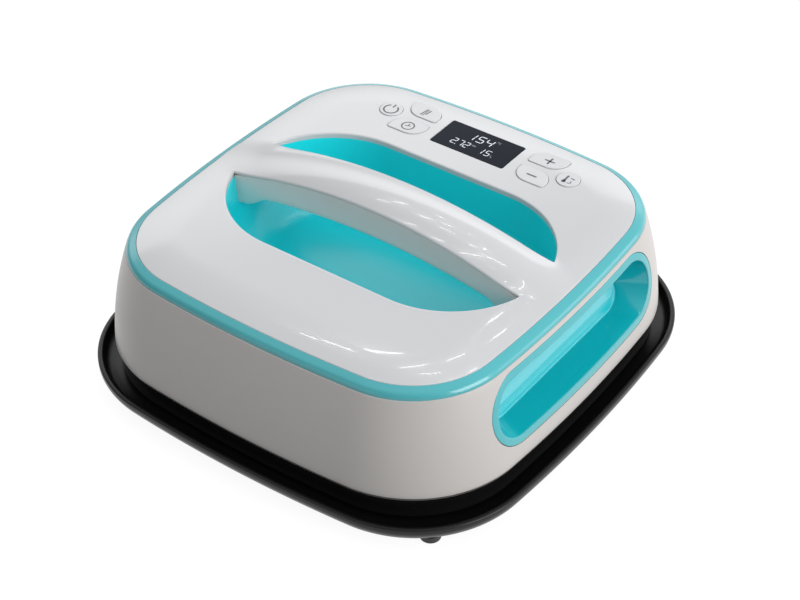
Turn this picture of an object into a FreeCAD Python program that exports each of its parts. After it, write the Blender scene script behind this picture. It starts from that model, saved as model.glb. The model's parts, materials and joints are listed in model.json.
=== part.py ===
import FreeCAD, Part
import math
import os

V = FreeCAD.Vector

# All sizes are in millimetres. X runs along the handle, Y to the rear, Z up from the table.
# The body outline is a square with bulging sides, measured at the teal ring's outer edge.
RING_HALF_X = 120.0
RING_HALF_Y = 121.0
RING_CORNER = 56.0
SIDE_BULGE = 8.6
RING_Z = 85.0
RING_EDGE = 1.5
RING_SLOPE_IN = 5.7
RING_SLOPE_UP = 3.7
RING_SEAT = 6.2
RING_THICK = 2.5

# Pale housing wall, which flares outward on its way down
WALL_BOTTOM_Z = 26.6
WALL_THICK = 2.5
FLARE = 11.3
FLARE_BOW = 2.1
LEDGE_IN = 19.5
LEDGE_THICK = 2.0
COVER_SCREW_IN = 17.0
COVER_SCREW_SIDE_Y = 45.0
HOUSING_POST_X = 94.0
HOUSING_POST_Y = 78.0

# White top cover
COVER_TOP_Z = 91.0
COVER_THICK = 3.0
COVER_RIM = 8.0
SHOULDER_IN = 24.0
OPENING_HALF_X = 92.0
OPENING_HALF_Y = 60.0
OPENING_CORNER = 42.0
OPENING_CHAMFER = 0.8

# Hand recess bowl under the opening
BOWL_WALL = 2.2
BOWL_FLOOR_Z = 49.0
BOWL_ROUND = 24.0
BOWL_DRAFT = 7.0
BOWL_FLANGE = 5.0
BOWL_SCREW_OUT = 6.5
BOWL_SCREW_CORNER_ANGLE = 60.0

# Bridge handle over the recess: an arch whose plan widens towards its ends
HANDLE_HALF_WIDTH = 17.0
HANDLE_END_WIDEN = 3.0
HANDLE_EDGE_Z = 104.4
HANDLE_ARCH_R = 330.0
HANDLE_CROWN = 3.0
HANDLE_SKIN_EDGE = 2.4
HANDLE_SKIN_END_X = 105.0
HANDLE_DEPTH = 16.0
HANDLE_WALL = 2.4
HANDLE_CORNER = 3.5
HANDLE_HEAD_SINK = 4.0
HANDLE_SCREW_BITE = 3.0
HANDLE_SCREWS = (-60.0, 60.0)

# Side grips, sunk into the left and right walls
GRIP_HALF_Y = 77.0
GRIP_HALF_Z = 20.2
GRIP_CENTRE_Z = 57.6
GRIP_BEZEL = 4.6
GRIP_BACK_X = 111.5
GRIP_BACK_HALF_Y = 65.0
GRIP_BACK_SHRINK = 1.4
GRIP_WALL = 2.2

# Display and buttons on the rear of the cover
WINDOW_X = 49.2
WINDOW_Y = 23.6
WINDOW_CENTRE_Y = 86.9
WINDOW_CORNER = 2.0
WINDOW_THICK = 1.6
WINDOW_LEDGE = 1.2
ROUND_BUTTON_R = 6.85
ROUND_BUTTON_X = 61.5
ROUND_BUTTON_Y = 87.0
LEAF_X = 21.6
LEAF_Y = 13.4
LEAF_BIG_R = 9.5
LEAF_SMALL_R = 1.6
LEAF_CENTRE_X = 43.0
LEAF_FRONT_Y = 78.4
LEAF_REAR_Y = 96.4
BUTTON_GAP = 0.3
BUTTON_PROUD = 0.5
BUTTON_TRAVEL = 0.6
BUTTON_FLANGE = 1.2
BUTTON_FLANGE_THICK = 1.2
BUTTON_STEM_R = 1.8

# Circuit board behind the panel
BOARD_HALF_X = 74.0
BOARD_FRONT_Y = 70.0
BOARD_REAR_Y = 101.0
BOARD_CORNER = 3.0
BOARD_THICK = 1.6
BOARD_TOP_Z = 78.6
BOARD_SCREW_IN = 3.6
BOARD_REAR_SCREW_IN = 7.0
SWITCH_SIZE = 6.0
SWITCH_HEIGHT = 3.6
SWITCH_PLUNGER = 1.0
SWITCH_PLUNGER_R = 1.7
MODULE_X = 56.0
MODULE_Y = 26.0
MODULE_BORDER = 2.5
MODULE_GLASS_SINK = 2.4
BUZZER_R = 6.0
BUZZER_HEIGHT = 6.0
BUZZER_Y = 80.0

# Black chassis under the housing, with the skirt round the hot plate
SKIRT_IN = 2.5
SKIRT_BOTTOM_Z = 11.8
SKIRT_FLANGE_IN = 0.8
SKIRT_FLANGE_THICK = 1.6
SKIRT_WALL = 2.8
NECK_GAP = 0.45
FLOOR_TOP_Z = 33.5
FLOOR_THICK = 2.5

# Hot plate and what lies over it
PLATE_BOTTOM_Z = 11.0
PLATE_THICK = 7.0
PLATE_GAP = 0.4
PLATE_CHAMFER = 0.8
PLATE_SCREW_FAR = 111.0
PLATE_SCREW_NEAR = 52.0
ELEMENT_R = 3.3
ELEMENT_HALF = 80.0
ELEMENT_CORNER = 30.0
ELEMENT_GAP = 24.0
ELEMENT_TERMINAL_Z = 40.0
BLANKET_HALF = 98.0
BLANKET_CORNER = 30.0
BLANKET_THICK = 6.0
SHIELD_THICK = 0.8
SHIELD_MARGIN = 1.0
CUTOFF_R = 8.0
CUTOFF_HEIGHT = 9.0
SENSOR_X = 40.0
SENSOR_R = 3.0
SENSOR_HEIGHT = 12.0
FORCE_SENSOR_AT = 97.0
FORCE_SENSOR_R = 6.5
FORCE_SENSOR_HEIGHT = 4.0

# Power board at the front of the chassis
POWER_HALF_X = 55.0
POWER_FRONT_Y = -108.0
POWER_REAR_Y = -66.0
POWER_Z = 42.0
POWER_SCREW_IN = 5.0
RELAY_SIZE = (28.0, 12.5, 15.5)
RELAY_X = 18.0
RELAY_IN = 13.5
CORE_SIZE = (22.0, 8.0, 17.0)
COIL_SIZE = (14.0, 16.0, 13.0)
TRANSFORMER_X = 8.0
TRANSFORMER_IN = 12.0
CAPACITORS = ((-36.0, 6.3, 20.0), (-20.0, 5.0, 16.0))
TERMINAL_SIZE = (10.0, 24.0, 11.0)
TERMINAL_X = 42.0
TERMINAL_PITCH = 8.0
TERMINAL_WELL_R = 2.2
TERMINAL_WELL_DEPTH = 4.0

# Stand: dished tray, rest pads and feet
TRAY_HALF_X = 140.0
TRAY_HALF_Y = 141.5
TRAY_CORNER = 70.0
TRAY_BULGE = 11.2
TRAY_BOTTOM_Z = 4.5
TRAY_FLOOR_Z = 8.0
TRAY_HEEL = (9.0, 2.8)
TRAY_HEEL_Z = 6.4
TRAY_WELL = (2.1, 6.0)
TRAY_WELL_Z = 8.8
LIP_Z = 12.2
LIP_TOP_Z = 15.4
LIP_THICK = 3.0
LIP_CHAMFER = 0.9
PAD_AT = 84.0
PAD_SIZE = 40.0
FOOT_X = 108.0
FOOT_Y = 112.0
FOOT_R = 5.8
FOOT_CHAMFER = 1.0
FOOT_HEAD_Z = 1.0

# Cord inlet in the rear wall
INLET_Z = 45.0
INLET_FLANGE_R = 9.0
INLET_NECK_R = 6.5
INLET_BORE_R = 3.6
INLET_OUT = 2.6
INLET_DEPTH = 11.0
INLET_END_WALL = 3.0
INLET_INNER_FLANGE = 4.0
INLET_CHAMFER = 0.8

# Fasteners and fits
SCREW_R = 1.6
SCREW_HEAD_R = 3.0
SCREW_HEAD = 1.9
SCREW_FIT = 0.05
SCREW_BITE = 7.0
BOSS_R = 3.6
BIG_SCREW_R = 2.2
BIG_HEAD_R = 3.8
BIG_HEAD = 2.5
BIG_BITE = 10.5
POST_R = 5.5
SEAM = 0.15
HEAT_GAP = 0.4

# Width of the strip that sweeps round the middle core of a filled form
CORE_IN = 40.0
BOWL_CORE_IN = 34.0
TRAY_CORE_IN = 30.0
PAST = 1.0

# Levels and places that follow from the sizes above
WALL_TOP_Z = RING_Z - RING_EDGE
LEDGE_BOTTOM_Z = WALL_TOP_Z - LEDGE_THICK
SEAT_Z = WALL_TOP_Z + RING_THICK
RING_TOP_Z = RING_Z + RING_SLOPE_UP
COVER_UNDER_Z = COVER_TOP_Z - COVER_THICK
COVER_EDGE = -RING_SLOPE_IN - SEAM
BOWL_FLANGE_Z = COVER_UNDER_Z - BOWL_WALL
ARCH_CENTRE_Z = HANDLE_EDGE_Z - HANDLE_ARCH_R
BOARD_UNDER_Z = BOARD_TOP_Z - BOARD_THICK
SWITCH_TOP_Z = BOARD_TOP_Z + SWITCH_HEIGHT
FLANGE_TOP_Z = COVER_UNDER_Z - BUTTON_GAP
FLANGE_Z = FLANGE_TOP_Z - BUTTON_FLANGE_THICK
SKIRT_OUT = FLARE - SKIRT_IN
SKIRT_FLANGE_Z = WALL_BOTTOM_Z - SKIRT_FLANGE_THICK
FLOOR_UNDER_Z = FLOOR_TOP_Z - FLOOR_THICK
PLATE_TOP_Z = PLATE_BOTTOM_Z + PLATE_THICK
BLANKET_Z = PLATE_TOP_Z + ELEMENT_R + HEAT_GAP
SHIELD_TOP_Z = BLANKET_Z + BLANKET_THICK + SHIELD_THICK
FORCE_TOP_Z = PLATE_TOP_Z + FORCE_SENSOR_HEIGHT
POWER_TOP_Z = POWER_Z + BOARD_THICK
POWER_MIDDLE_Y = (POWER_FRONT_Y + POWER_REAR_Y) / 2
GRIP_MOUTH_X = RING_HALF_X + FLARE


def four(x, y):
    """The same place in all four quarters."""
    return [(sx * x, sy * y) for sx in (1, -1) for sy in (1, -1)]


def bowl_corner_screws():
    """Flange screws just outside the corners of the opening."""
    reach = OPENING_CORNER + BOWL_SCREW_OUT
    angle = math.radians(BOWL_SCREW_CORNER_ANGLE)
    x = OPENING_HALF_X - OPENING_CORNER + reach * math.cos(angle)
    y = OPENING_HALF_Y - OPENING_CORNER + reach * math.sin(angle)
    return four(x, y)


COVER_SCREWS = four(RING_HALF_X - COVER_SCREW_IN, COVER_SCREW_SIDE_Y)
COVER_SCREWS += [(0, RING_HALF_Y - COVER_SCREW_IN), (0, COVER_SCREW_IN - RING_HALF_Y)]
HOUSING_POSTS = four(HOUSING_POST_X, HOUSING_POST_Y)
BOWL_SCREWS = bowl_corner_screws()
BOARD_SCREWS = [
    (side * (BOARD_HALF_X - BOARD_SCREW_IN), y)
    for side in (1, -1)
    for y in (BOARD_FRONT_Y + BOARD_SCREW_IN, BOARD_REAR_Y - BOARD_REAR_SCREW_IN)
]
POWER_SCREWS = [
    (side * (POWER_HALF_X - POWER_SCREW_IN), y)
    for side in (1, -1)
    for y in (POWER_FRONT_Y + POWER_SCREW_IN, POWER_REAR_Y - POWER_SCREW_IN)
]
PLATE_SCREWS = four(PLATE_SCREW_FAR, PLATE_SCREW_NEAR)
FORCE_SENSORS = four(FORCE_SENSOR_AT, FORCE_SENSOR_AT)
TERMINALS = ((-ELEMENT_GAP / 2, ELEMENT_HALF), (ELEMENT_GAP / 2, ELEMENT_HALF))
FEET = four(FOOT_X, FOOT_Y)

# Each button's centre, and 1 or -1 for the two ways that a leaf outline lies, 0 for a round one
BUTTONS = {
    "button_power": (-ROUND_BUTTON_X, ROUND_BUTTON_Y, 0),
    "button_unit": (ROUND_BUTTON_X, ROUND_BUTTON_Y, 0),
    "button_timer": (-LEAF_CENTRE_X, LEAF_FRONT_Y, 1),
    "button_temperature": (-LEAF_CENTRE_X, LEAF_REAR_Y, -1),
    "button_minus": (LEAF_CENTRE_X, LEAF_FRONT_Y, -1),
    "button_plus": (LEAF_CENTRE_X, LEAF_REAR_Y, 1),
}

SAVED = []


def save(name, shape):
    """Write one node and note whether its solids are sound."""
    shape = shape.removeSplitter()
    shape.exportStep("parts/" + name + ".step")
    SAVED.append((name, len(shape.Solids), shape.isValid(), shape.Volume))


def arc(start, middle, end):
    return Part.Arc(start, middle, end).toShape()


def line(start, end):
    return Part.LineSegment(start, end).toShape()


def direction(angle):
    return V(math.cos(math.radians(angle)), math.sin(math.radians(angle)), 0)


def joined(shapes):
    return shapes[0].fuse(shapes[1:])


def prism(wire, height):
    return Part.Face(wire).extrude(V(0, 0, height))


def rod(radius, x, y, low_z, high_z):
    return Part.makeCylinder(radius, high_z - low_z, V(x, y, low_z))


def bar(radius, x, y, low_z, high_z):
    """Upright hexagonal bar, which keeps what repeats light."""
    points = [V(x, y, low_z) + direction(60 * turn) * radius for turn in range(6)]
    return prism(Part.makePolygon(points + points[:1]), high_z - low_z)


def bars(radius, places, low_z, high_z):
    return [bar(radius, x, y, low_z, high_z) for x, y in places]


def box(x, y, size_x, size_y, low_z, high_z):
    return Part.makeBox(size_x, size_y, high_z - low_z, V(x - size_x / 2, y - size_y / 2, low_z))


def sagitta(radius, chord):
    return radius - math.sqrt(radius ** 2 - chord ** 2 / 4)


def bulged_runs(half_x, half_y, corner, bulge):
    """Arcs round a square with bulging sides: each is centre, radius, first angle and sweep."""
    side_x = (half_y ** 2 + bulge ** 2) / (2 * bulge)
    side_y = (half_x ** 2 + bulge ** 2) / (2 * bulge)
    centre_x = V(half_x - side_x, 0, 0)
    centre_y = V(0, half_y - side_y, 0)
    span = centre_y - centre_x
    reach_x = side_x - corner
    reach_y = side_y - corner
    along = (reach_x ** 2 - reach_y ** 2 + span.Length ** 2) / (2 * span.Length)
    across = math.sqrt(reach_x ** 2 - along ** 2)
    unit = span / span.Length
    at = centre_x + unit * along + V(-unit.y, unit.x, 0) * across
    low = math.degrees(math.atan2(at.y, at.x - centre_x.x))
    high = math.degrees(math.atan2(at.y - centre_y.y, at.x))
    return [
        (centre_x, side_x, -low, 2 * low),
        (at, corner, low, high - low),
        (centre_y, side_y, high, 180 - 2 * high),
        (V(-at.x, at.y, 0), corner, 180 - high, high - low),
        (centre_x * -1, side_x, 180 - low, 2 * low),
        (at * -1, corner, 180 + low, high - low),
        (centre_y * -1, side_y, 180 + high, 180 - 2 * high),
        (V(at.x, -at.y, 0), corner, 360 - high, high - low),
    ]


def straight_runs(half_x, half_y, corner):
    """Round a rectangle: corner arcs as above, and sides as start, None, heading and length."""
    runs = []
    sides = ((half_x, half_y), (half_y, half_x), (half_x, half_y), (half_y, half_x))
    for turn, (out, half) in enumerate(sides):
        heading = 90 * turn + 90
        start = direction(90 * turn) * out - direction(heading) * (half - corner)
        runs.append((start, None, heading, 2 * (half - corner)))
        centre = direction(90 * turn) * (out - corner) + direction(heading) * (half - corner)
        runs.append((centre, corner, 90 * turn, 90))
    return runs


def flat(runs, z, inset=0.0):
    """Closed wire of the outline at height z, offset inward by inset."""
    edges = []
    for at, radius, angle, extent in runs:
        at = V(at.x, at.y, z)
        if radius is None:
            start = at - direction(angle - 90) * inset
            edges.append(line(start, start + direction(angle) * extent))
            continue
        reach = radius - inset
        points = [at + direction(angle + extent * share) * reach for share in (0, 0.5, 1)]
        edges.append(arc(*points))
    return Part.Wire(edges)


def section(first, *steps):
    """Closed section drawn outward from an outline (u) and up (z).

    A step with a third number is an arc that bows that far to the right of its travel.
    """
    at = V(first[0], 0, first[1])
    start = at
    edges = []
    for step in steps:
        end = V(step[0], 0, step[1])
        if len(step) == 3:
            along = end - at
            right = V(along.z, 0, -along.x) / along.Length
            edges.append(arc(at, (at + end) / 2 + right * step[2], end))
        else:
            edges.append(line(at, end))
        at = end
    edges.append(line(at, start))
    return Part.Wire(edges)


def swept(runs, wire):
    """Carry a section round an outline."""
    pieces = []
    for at, radius, angle, extent in runs:
        face = Part.Face(wire)
        if radius is None:
            face.rotate(V(), V(0, 0, 1), angle - 90)
            face.translate(at)
            pieces.append(face.extrude(direction(angle) * extent))
            continue
        face.rotate(V(), V(0, 0, 1), angle)
        face.translate(at + direction(angle) * radius)
        pieces.append(face.revolve(at, V(0, 0, 1), extent))
    return joined(pieces)


def rounded(half_x, half_y, radii, z=0.0, x=0.0, y=0.0):
    """Rectangle with its own radius at the front right, rear right, rear left and front left."""
    quarters = ((1, -1, 1, 0), (1, 1, 0, 1), (-1, 1, -1, 0), (-1, -1, 0, -1))
    edges = []
    first = None
    before = None
    for (side_x, side_y, toward_x, toward_y), radius in zip(quarters, radii):
        tip = V(x + side_x * half_x, y + side_y * half_y, z)
        start = tip - V(toward_x, toward_y, 0) * radius
        end = tip + V(-toward_y, toward_x, 0) * radius
        middle = tip - V(side_x, side_y, 0) * (radius * (1 - math.sqrt(0.5)))
        if before and (start - before).Length > SCREW_FIT:
            edges.append(line(before, start))
        first = first or start
        edges.append(arc(start, middle, end))
        before = end
    if (first - before).Length > SCREW_FIT:
        edges.append(line(before, first))
    return Part.Wire(edges)


def pill(half_y, half_z, x, centre_z):
    """Upright outline with round ends, in the plane across X."""
    wire = rounded(half_y, half_z, [half_z - SCREW_FIT] * 4)
    turn = FreeCAD.Rotation(V(0, 1, 0), V(0, 0, 1), V(1, 0, 0), "ZXY")
    wire.Placement = FreeCAD.Placement(V(x, 0, centre_z), turn)
    return wire


def mirrored(shape):
    """The same piece for the left-hand wall."""
    return shape.mirror(V(), V(1, 0, 0))


BODY = bulged_runs(RING_HALF_X, RING_HALF_Y, RING_CORNER, SIDE_BULGE)
TRAY = bulged_runs(TRAY_HALF_X, TRAY_HALF_Y, TRAY_CORNER, TRAY_BULGE)
OPENING = straight_runs(OPENING_HALF_X, OPENING_HALF_Y, OPENING_CORNER)


# Housing wall

def wall_arc():
    """Centre (u, z) and radius of the arc that the wall's section follows."""
    drop = RING_Z - WALL_BOTTOM_Z
    chord = math.hypot(FLARE, drop)
    radius = (chord ** 2 / 4 + FLARE_BOW ** 2) / (2 * FLARE_BOW)
    back = radius - FLARE_BOW
    return FLARE / 2 - back * drop / chord, (RING_Z + WALL_BOTTOM_Z) / 2 - back * FLARE / chord, radius


def wall_u(z, inset=0.0):
    """How far the wall stands outside the ring's outer edge at height z."""
    u, centre_z, radius = wall_arc()
    return u + math.sqrt((radius - inset) ** 2 - (z - centre_z) ** 2)


def wall_step(from_z, to_z, inset, side):
    """Step of a section along the wall's arc; side is 1 on the way up and -1 on the way down."""
    chord = math.hypot(to_z - from_z, wall_u(to_z, inset) - wall_u(from_z, inset))
    return wall_u(to_z, inset), to_z, side * sagitta(wall_arc()[2] - inset, chord)


def wall_shell():
    """The wall by itself: curved outside, two straight draughts inside."""
    low = WALL_BOTTOM_Z
    high = WALL_TOP_Z
    middle = (low + high) / 2
    return swept(BODY, section(
        (wall_u(low), low),
        wall_step(low, high, 0.0, 1),
        (wall_u(high) - WALL_THICK, high),
        (wall_u(middle) - WALL_THICK, middle),
        (wall_u(low) - WALL_THICK, low),
    ))


def wall_filled(inset, low=WALL_BOTTOM_Z, high=WALL_TOP_Z):
    """The whole space inside the housing's form, offset inward by inset."""
    rim = swept(BODY, section(
        (-CORE_IN, low), (wall_u(low, inset), low), wall_step(low, high, inset, 1), (-CORE_IN, high)
    ))
    return rim.fuse(prism(flat(BODY, low, CORE_IN), high - low))


def grip_slot(margin):
    """Straight slot through the right-hand wall, as large as the grip's bezel."""
    wire = pill(GRIP_HALF_Y + margin, GRIP_HALF_Z + margin, 0, GRIP_CENTRE_Z)
    return Part.Face(wire).extrude(V(GRIP_MOUTH_X, 0, 0))


def grip_pocket(margin, back_x):
    """Tapered pocket, from outside the wall to its back."""
    mouth_z = GRIP_HALF_Z - GRIP_BEZEL + margin
    mouth = pill(GRIP_HALF_Y - GRIP_BEZEL + margin, mouth_z, GRIP_MOUTH_X, GRIP_CENTRE_Z)
    drop = GRIP_BACK_SHRINK * (GRIP_MOUTH_X - back_x) / (GRIP_MOUTH_X - GRIP_BACK_X)
    back = pill(GRIP_BACK_HALF_Y + margin, mouth_z - GRIP_BACK_SHRINK, back_x, GRIP_CENTRE_Z - drop)
    return Part.makeLoft([mouth, back], True, True)


def side_grip():
    """Teal liner of the right-hand wall: a flush bezel and the pocket behind it."""
    bezel = grip_slot(0.0).common(wall_shell())
    cup = grip_pocket(GRIP_WALL, GRIP_BACK_X - GRIP_WALL).common(wall_filled(0.0))
    return bezel.fuse(cup).cut(grip_pocket(0.0, GRIP_BACK_X))


def lower_housing():
    """Flared wall with a ledge for the ring, slots for the grips and posts for the chassis."""
    ledge = swept(BODY, section(
        (-LEDGE_IN, LEDGE_BOTTOM_Z), (-WALL_THICK / 2, LEDGE_BOTTOM_Z),
        (-WALL_THICK / 2, WALL_TOP_Z), (-LEDGE_IN, WALL_TOP_Z),
    ))
    ledge = ledge.cut(bars(BOSS_R + PAST, BOARD_SCREWS, LEDGE_BOTTOM_Z, WALL_TOP_Z))
    posts = bars(POST_R, HOUSING_POSTS, FLOOR_TOP_Z, WALL_TOP_Z)
    arms = []
    for x, y in HOUSING_POSTS:
        side = 1 if x > 0 else -1
        arms.append(box(x + side * POST_R, y, 2 * POST_R, WALL_THICK, LEDGE_BOTTOM_Z - POST_R, WALL_TOP_Z))
    body = joined([wall_shell(), ledge] + posts + arms)
    slot = grip_slot(SEAM)
    cuts = [slot, mirrored(slot)]
    cuts += bars(SCREW_R + SCREW_FIT, COVER_SCREWS, LEDGE_BOTTOM_Z - PAST, WALL_TOP_Z + PAST)
    cuts += bars(BIG_SCREW_R + SCREW_FIT, HOUSING_POSTS, FLOOR_TOP_Z - PAST, FLOOR_TOP_Z + BIG_BITE + PAST)
    start = V(0, RING_HALF_Y / 2, INLET_Z)
    neck = Part.makeCylinder(INLET_NECK_R + SCREW_FIT, RING_HALF_Y, start, V(0, 1, 0))
    return body.cut(cuts + [neck])


# Teal ring and white cover

def trim_ring():
    """Ring with a sloping top and a seat for the cover."""
    seat_u = -RING_SLOPE_IN - RING_SEAT
    return swept(BODY, section(
        (seat_u, WALL_TOP_Z), (0, WALL_TOP_Z), (0, RING_Z), (-RING_SLOPE_IN, RING_TOP_Z),
        (-RING_SLOPE_IN, SEAT_Z), (seat_u, SEAT_Z),
    ))


def cover_plate():
    """Plate with a soft shoulder and a rim that sits in the ring."""
    rise = COVER_TOP_Z - RING_TOP_Z
    chord = math.hypot(SHOULDER_IN, rise)
    shoulder_r = chord ** 2 / (2 * rise)
    rim_u = -RING_SLOPE_IN - COVER_RIM
    band = swept(BODY, section(
        (COVER_EDGE, SEAT_Z), (COVER_EDGE, RING_TOP_Z),
        (COVER_EDGE - SHOULDER_IN, COVER_TOP_Z, sagitta(shoulder_r, chord)),
        (-CORE_IN, COVER_TOP_Z), (-CORE_IN, COVER_UNDER_Z), (rim_u, COVER_UNDER_Z), (rim_u, SEAT_Z),
    ))
    plate = band.fuse(prism(flat(BODY, COVER_UNDER_Z, CORE_IN), COVER_THICK))
    opening = prism(flat(OPENING, COVER_UNDER_Z - PAST), COVER_THICK + 2 * PAST)
    return plate.cut(opening).removeSplitter()


def with_soft_opening(plate):
    """Chamfer the upper edge of the recess opening."""
    rim = []
    for edge in plate.Edges:
        bounds = edge.BoundBox
        level = min(abs(bounds.ZMin - COVER_TOP_Z), abs(bounds.ZMax - COVER_TOP_Z)) < SCREW_FIT
        inside_x = max(abs(bounds.XMin), abs(bounds.XMax)) < OPENING_HALF_X + PAST
        inside_y = max(abs(bounds.YMin), abs(bounds.YMax)) < OPENING_HALF_Y + PAST
        if level and inside_x and inside_y and bounds.ZLength < SCREW_FIT:
            rim.append(edge)
    return plate.makeChamfer(OPENING_CHAMFER, rim)


def handle_plan(inset, low_z, high_z):
    """Prism of the handle's plan, whose long sides curve out towards the ends."""
    end_x = HANDLE_SKIN_END_X
    middle = HANDLE_HALF_WIDTH - inset
    end_y = middle + HANDLE_END_WIDEN * (end_x / OPENING_HALF_X) ** 2
    signs = ((1, -1), (1, 1), (-1, 1), (-1, -1))
    corners = [V(sx * end_x, sy * end_y, low_z) for sx, sy in signs]
    wire = Part.Wire([
        line(corners[0], corners[1]),
        arc(corners[1], V(0, middle, low_z), corners[2]),
        line(corners[2], corners[3]),
        arc(corners[3], V(0, -middle, low_z), corners[0]),
    ])
    return prism(wire, high_z - low_z)


def arched(wire):
    """Carry a section across X along the handle's arch."""
    half_angle = math.degrees(math.asin(HANDLE_SKIN_END_X / (HANDLE_ARCH_R - HANDLE_DEPTH)))
    centre = V(0, 0, ARCH_CENTRE_Z)
    face = Part.Face(wire)
    face.rotate(centre, V(0, 1, 0), -half_angle)
    return face.revolve(centre, V(0, 1, 0), 2 * half_angle)


def arch_z(x, depth):
    """Height of the arch at x, measured depth below its edge line."""
    return ARCH_CENTRE_Z + math.sqrt((HANDLE_ARCH_R - depth) ** 2 - x ** 2)


def arch_band(top_depth, low_depth):
    """Plain band of the arch between two depths, wider than the handle."""
    half = HANDLE_HALF_WIDTH + 2 * HANDLE_END_WIDEN
    top = HANDLE_EDGE_Z - top_depth
    low = HANDLE_EDGE_Z - low_depth
    points = [V(0, -half, low), V(0, half, low), V(0, half, top), V(0, -half, top)]
    return arched(Part.makePolygon(points + points[:1]))


def handle_skin():
    """White top of the handle, crowned across and arched along."""
    crown_r = (HANDLE_HALF_WIDTH ** 2 + HANDLE_CROWN ** 2) / (2 * HANDLE_CROWN)
    half = HANDLE_HALF_WIDTH + HANDLE_END_WIDEN + PAST
    low = HANDLE_EDGE_Z - HANDLE_SKIN_EDGE
    crest = HANDLE_EDGE_Z + HANDLE_CROWN
    side = crest - sagitta(crown_r, 2 * half)
    band = arched(Part.Wire([
        line(V(0, -half, side), V(0, -half, low)),
        line(V(0, -half, low), V(0, half, low)),
        line(V(0, half, low), V(0, half, side)),
        arc(V(0, half, side), V(0, 0, crest), V(0, -half, side)),
    ]))
    return band.common(handle_plan(0.0, COVER_UNDER_Z, crest + PAST))


def handle_grip():
    """Grey hollow shell under the skin, shaped to the recess walls at its ends."""
    low_z = BOWL_FLOOR_Z
    outer = arch_band(HANDLE_SKIN_EDGE + SEAM, HANDLE_DEPTH).common(handle_plan(SEAM, low_z, HANDLE_EDGE_Z))
    long_edges = []
    for edge in outer.Edges:
        middle = edge.CenterOfMass
        is_long = edge.Length > HANDLE_SKIN_END_X
        if is_long and middle.z < arch_z(middle.x, HANDLE_DEPTH / 2):
            long_edges.append(edge)
    outer = outer.makeChamfer(HANDLE_CORNER, long_edges)
    hollow = arch_band(0.0, HANDLE_DEPTH - HANDLE_WALL).common(
        handle_plan(HANDLE_WALL + SEAM, low_z, HANDLE_EDGE_Z))
    bosses = joined([bar(POST_R, x, 0, low_z, HANDLE_EDGE_Z) for x in HANDLE_SCREWS])
    shell = outer.cut(hollow.cut(bosses)).common(recess_space(SEAM))
    cuts = []
    for x in HANDLE_SCREWS:
        head_z = arch_z(x, HANDLE_DEPTH) + HANDLE_HEAD_SINK
        cuts.append(bar(SCREW_HEAD_R + SEAM, x, 0, low_z, head_z))
        cuts.append(bar(SCREW_R + SCREW_FIT, x, 0, low_z, HANDLE_EDGE_Z))
    return shell.cut(cuts)


def handle_screws():
    pieces = []
    for x in HANDLE_SCREWS:
        head_z = arch_z(x, HANDLE_DEPTH) + HANDLE_HEAD_SINK
        pieces.append(screw(x, 0, head_z, arch_z(x, HANDLE_SKIN_EDGE) + HANDLE_SCREW_BITE))
    return Part.makeCompound(pieces)


def leaf(x, y, gap, lie):
    """Leaf outline: two opposite corners nearly pointed, the other two well rounded."""
    big = LEAF_BIG_R + gap
    small = LEAF_SMALL_R + gap
    radii = [big, small, big, small] if lie > 0 else [small, big, small, big]
    return rounded(LEAF_X / 2 + gap, LEAF_Y / 2 + gap, radii, 0, x, y)


def button_prism(name, gap, low_z, high_z):
    """Upright prism of one button's outline, grown by gap."""
    x, y, lie = BUTTONS[name]
    if not lie:
        return rod(ROUND_BUTTON_R + gap, x, y, low_z, high_z)
    wire = leaf(x, y, gap, lie)
    wire.translate(V(0, 0, low_z))
    return prism(wire, high_z - low_z)


def window_prism(margin, low_z, high_z):
    radius = max(WINDOW_CORNER + margin, SEAM)
    wire = rounded(WINDOW_X / 2 + margin, WINDOW_Y / 2 + margin, [radius] * 4, low_z, 0, WINDOW_CENTRE_Y)
    return prism(wire, high_z - low_z)


def top_cover():
    """One moulding: plate, rim, handle skin and the bosses that hang from the plate."""
    root_z = COVER_UNDER_Z + COVER_THICK / 3
    body = [with_soft_opening(cover_plate()), handle_skin()]
    cuts = []
    for places, foot_z in ((COVER_SCREWS, WALL_TOP_Z), (BOARD_SCREWS, BOARD_TOP_Z)):
        body += bars(BOSS_R, places, foot_z, root_z)
        cuts += bars(SCREW_R + SCREW_FIT, places, foot_z - PAST, root_z)
    cuts += bars(SCREW_R + SCREW_FIT, BOWL_SCREWS, BOWL_FLANGE_Z, COVER_UNDER_Z + COVER_THICK / 2)
    for name in BUTTONS:
        cuts.append(button_prism(name, BUTTON_GAP, COVER_UNDER_Z - PAST, COVER_TOP_Z + PAST))
    cuts.append(window_prism(SEAM, COVER_TOP_Z - WINDOW_THICK, COVER_TOP_Z + PAST))
    cuts.append(window_prism(-WINDOW_LEDGE, COVER_UNDER_Z - PAST, COVER_TOP_Z))
    for x in HANDLE_SCREWS:
        tip_z = arch_z(x, HANDLE_SKIN_EDGE) + HANDLE_SCREW_BITE
        cuts.append(bar(SCREW_R + SCREW_FIT, x, 0, tip_z - HANDLE_DEPTH, tip_z + SCREW_FIT))
    return joined(body).cut(cuts)


# Recess bowl

def bowl_curve(grow):
    """Wall line and floor fillet of the bowl, grown outward: top, fillet start, fillet end, bow."""
    draft = math.radians(BOWL_DRAFT)
    radius = BOWL_ROUND + grow
    centre_z = BOWL_FLOOR_Z + BOWL_ROUND
    centre_u = -math.tan(draft) * (COVER_UNDER_Z - centre_z) - BOWL_ROUND / math.cos(draft)
    start = (centre_u + radius * math.cos(draft), centre_z - radius * math.sin(draft))
    end = (centre_u, centre_z - radius)
    chord = math.hypot(start[0] - end[0], start[1] - end[1])
    top = start[0] + (COVER_UNDER_Z - start[1]) * math.tan(draft)
    return top, start, end, sagitta(radius, chord)


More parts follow.
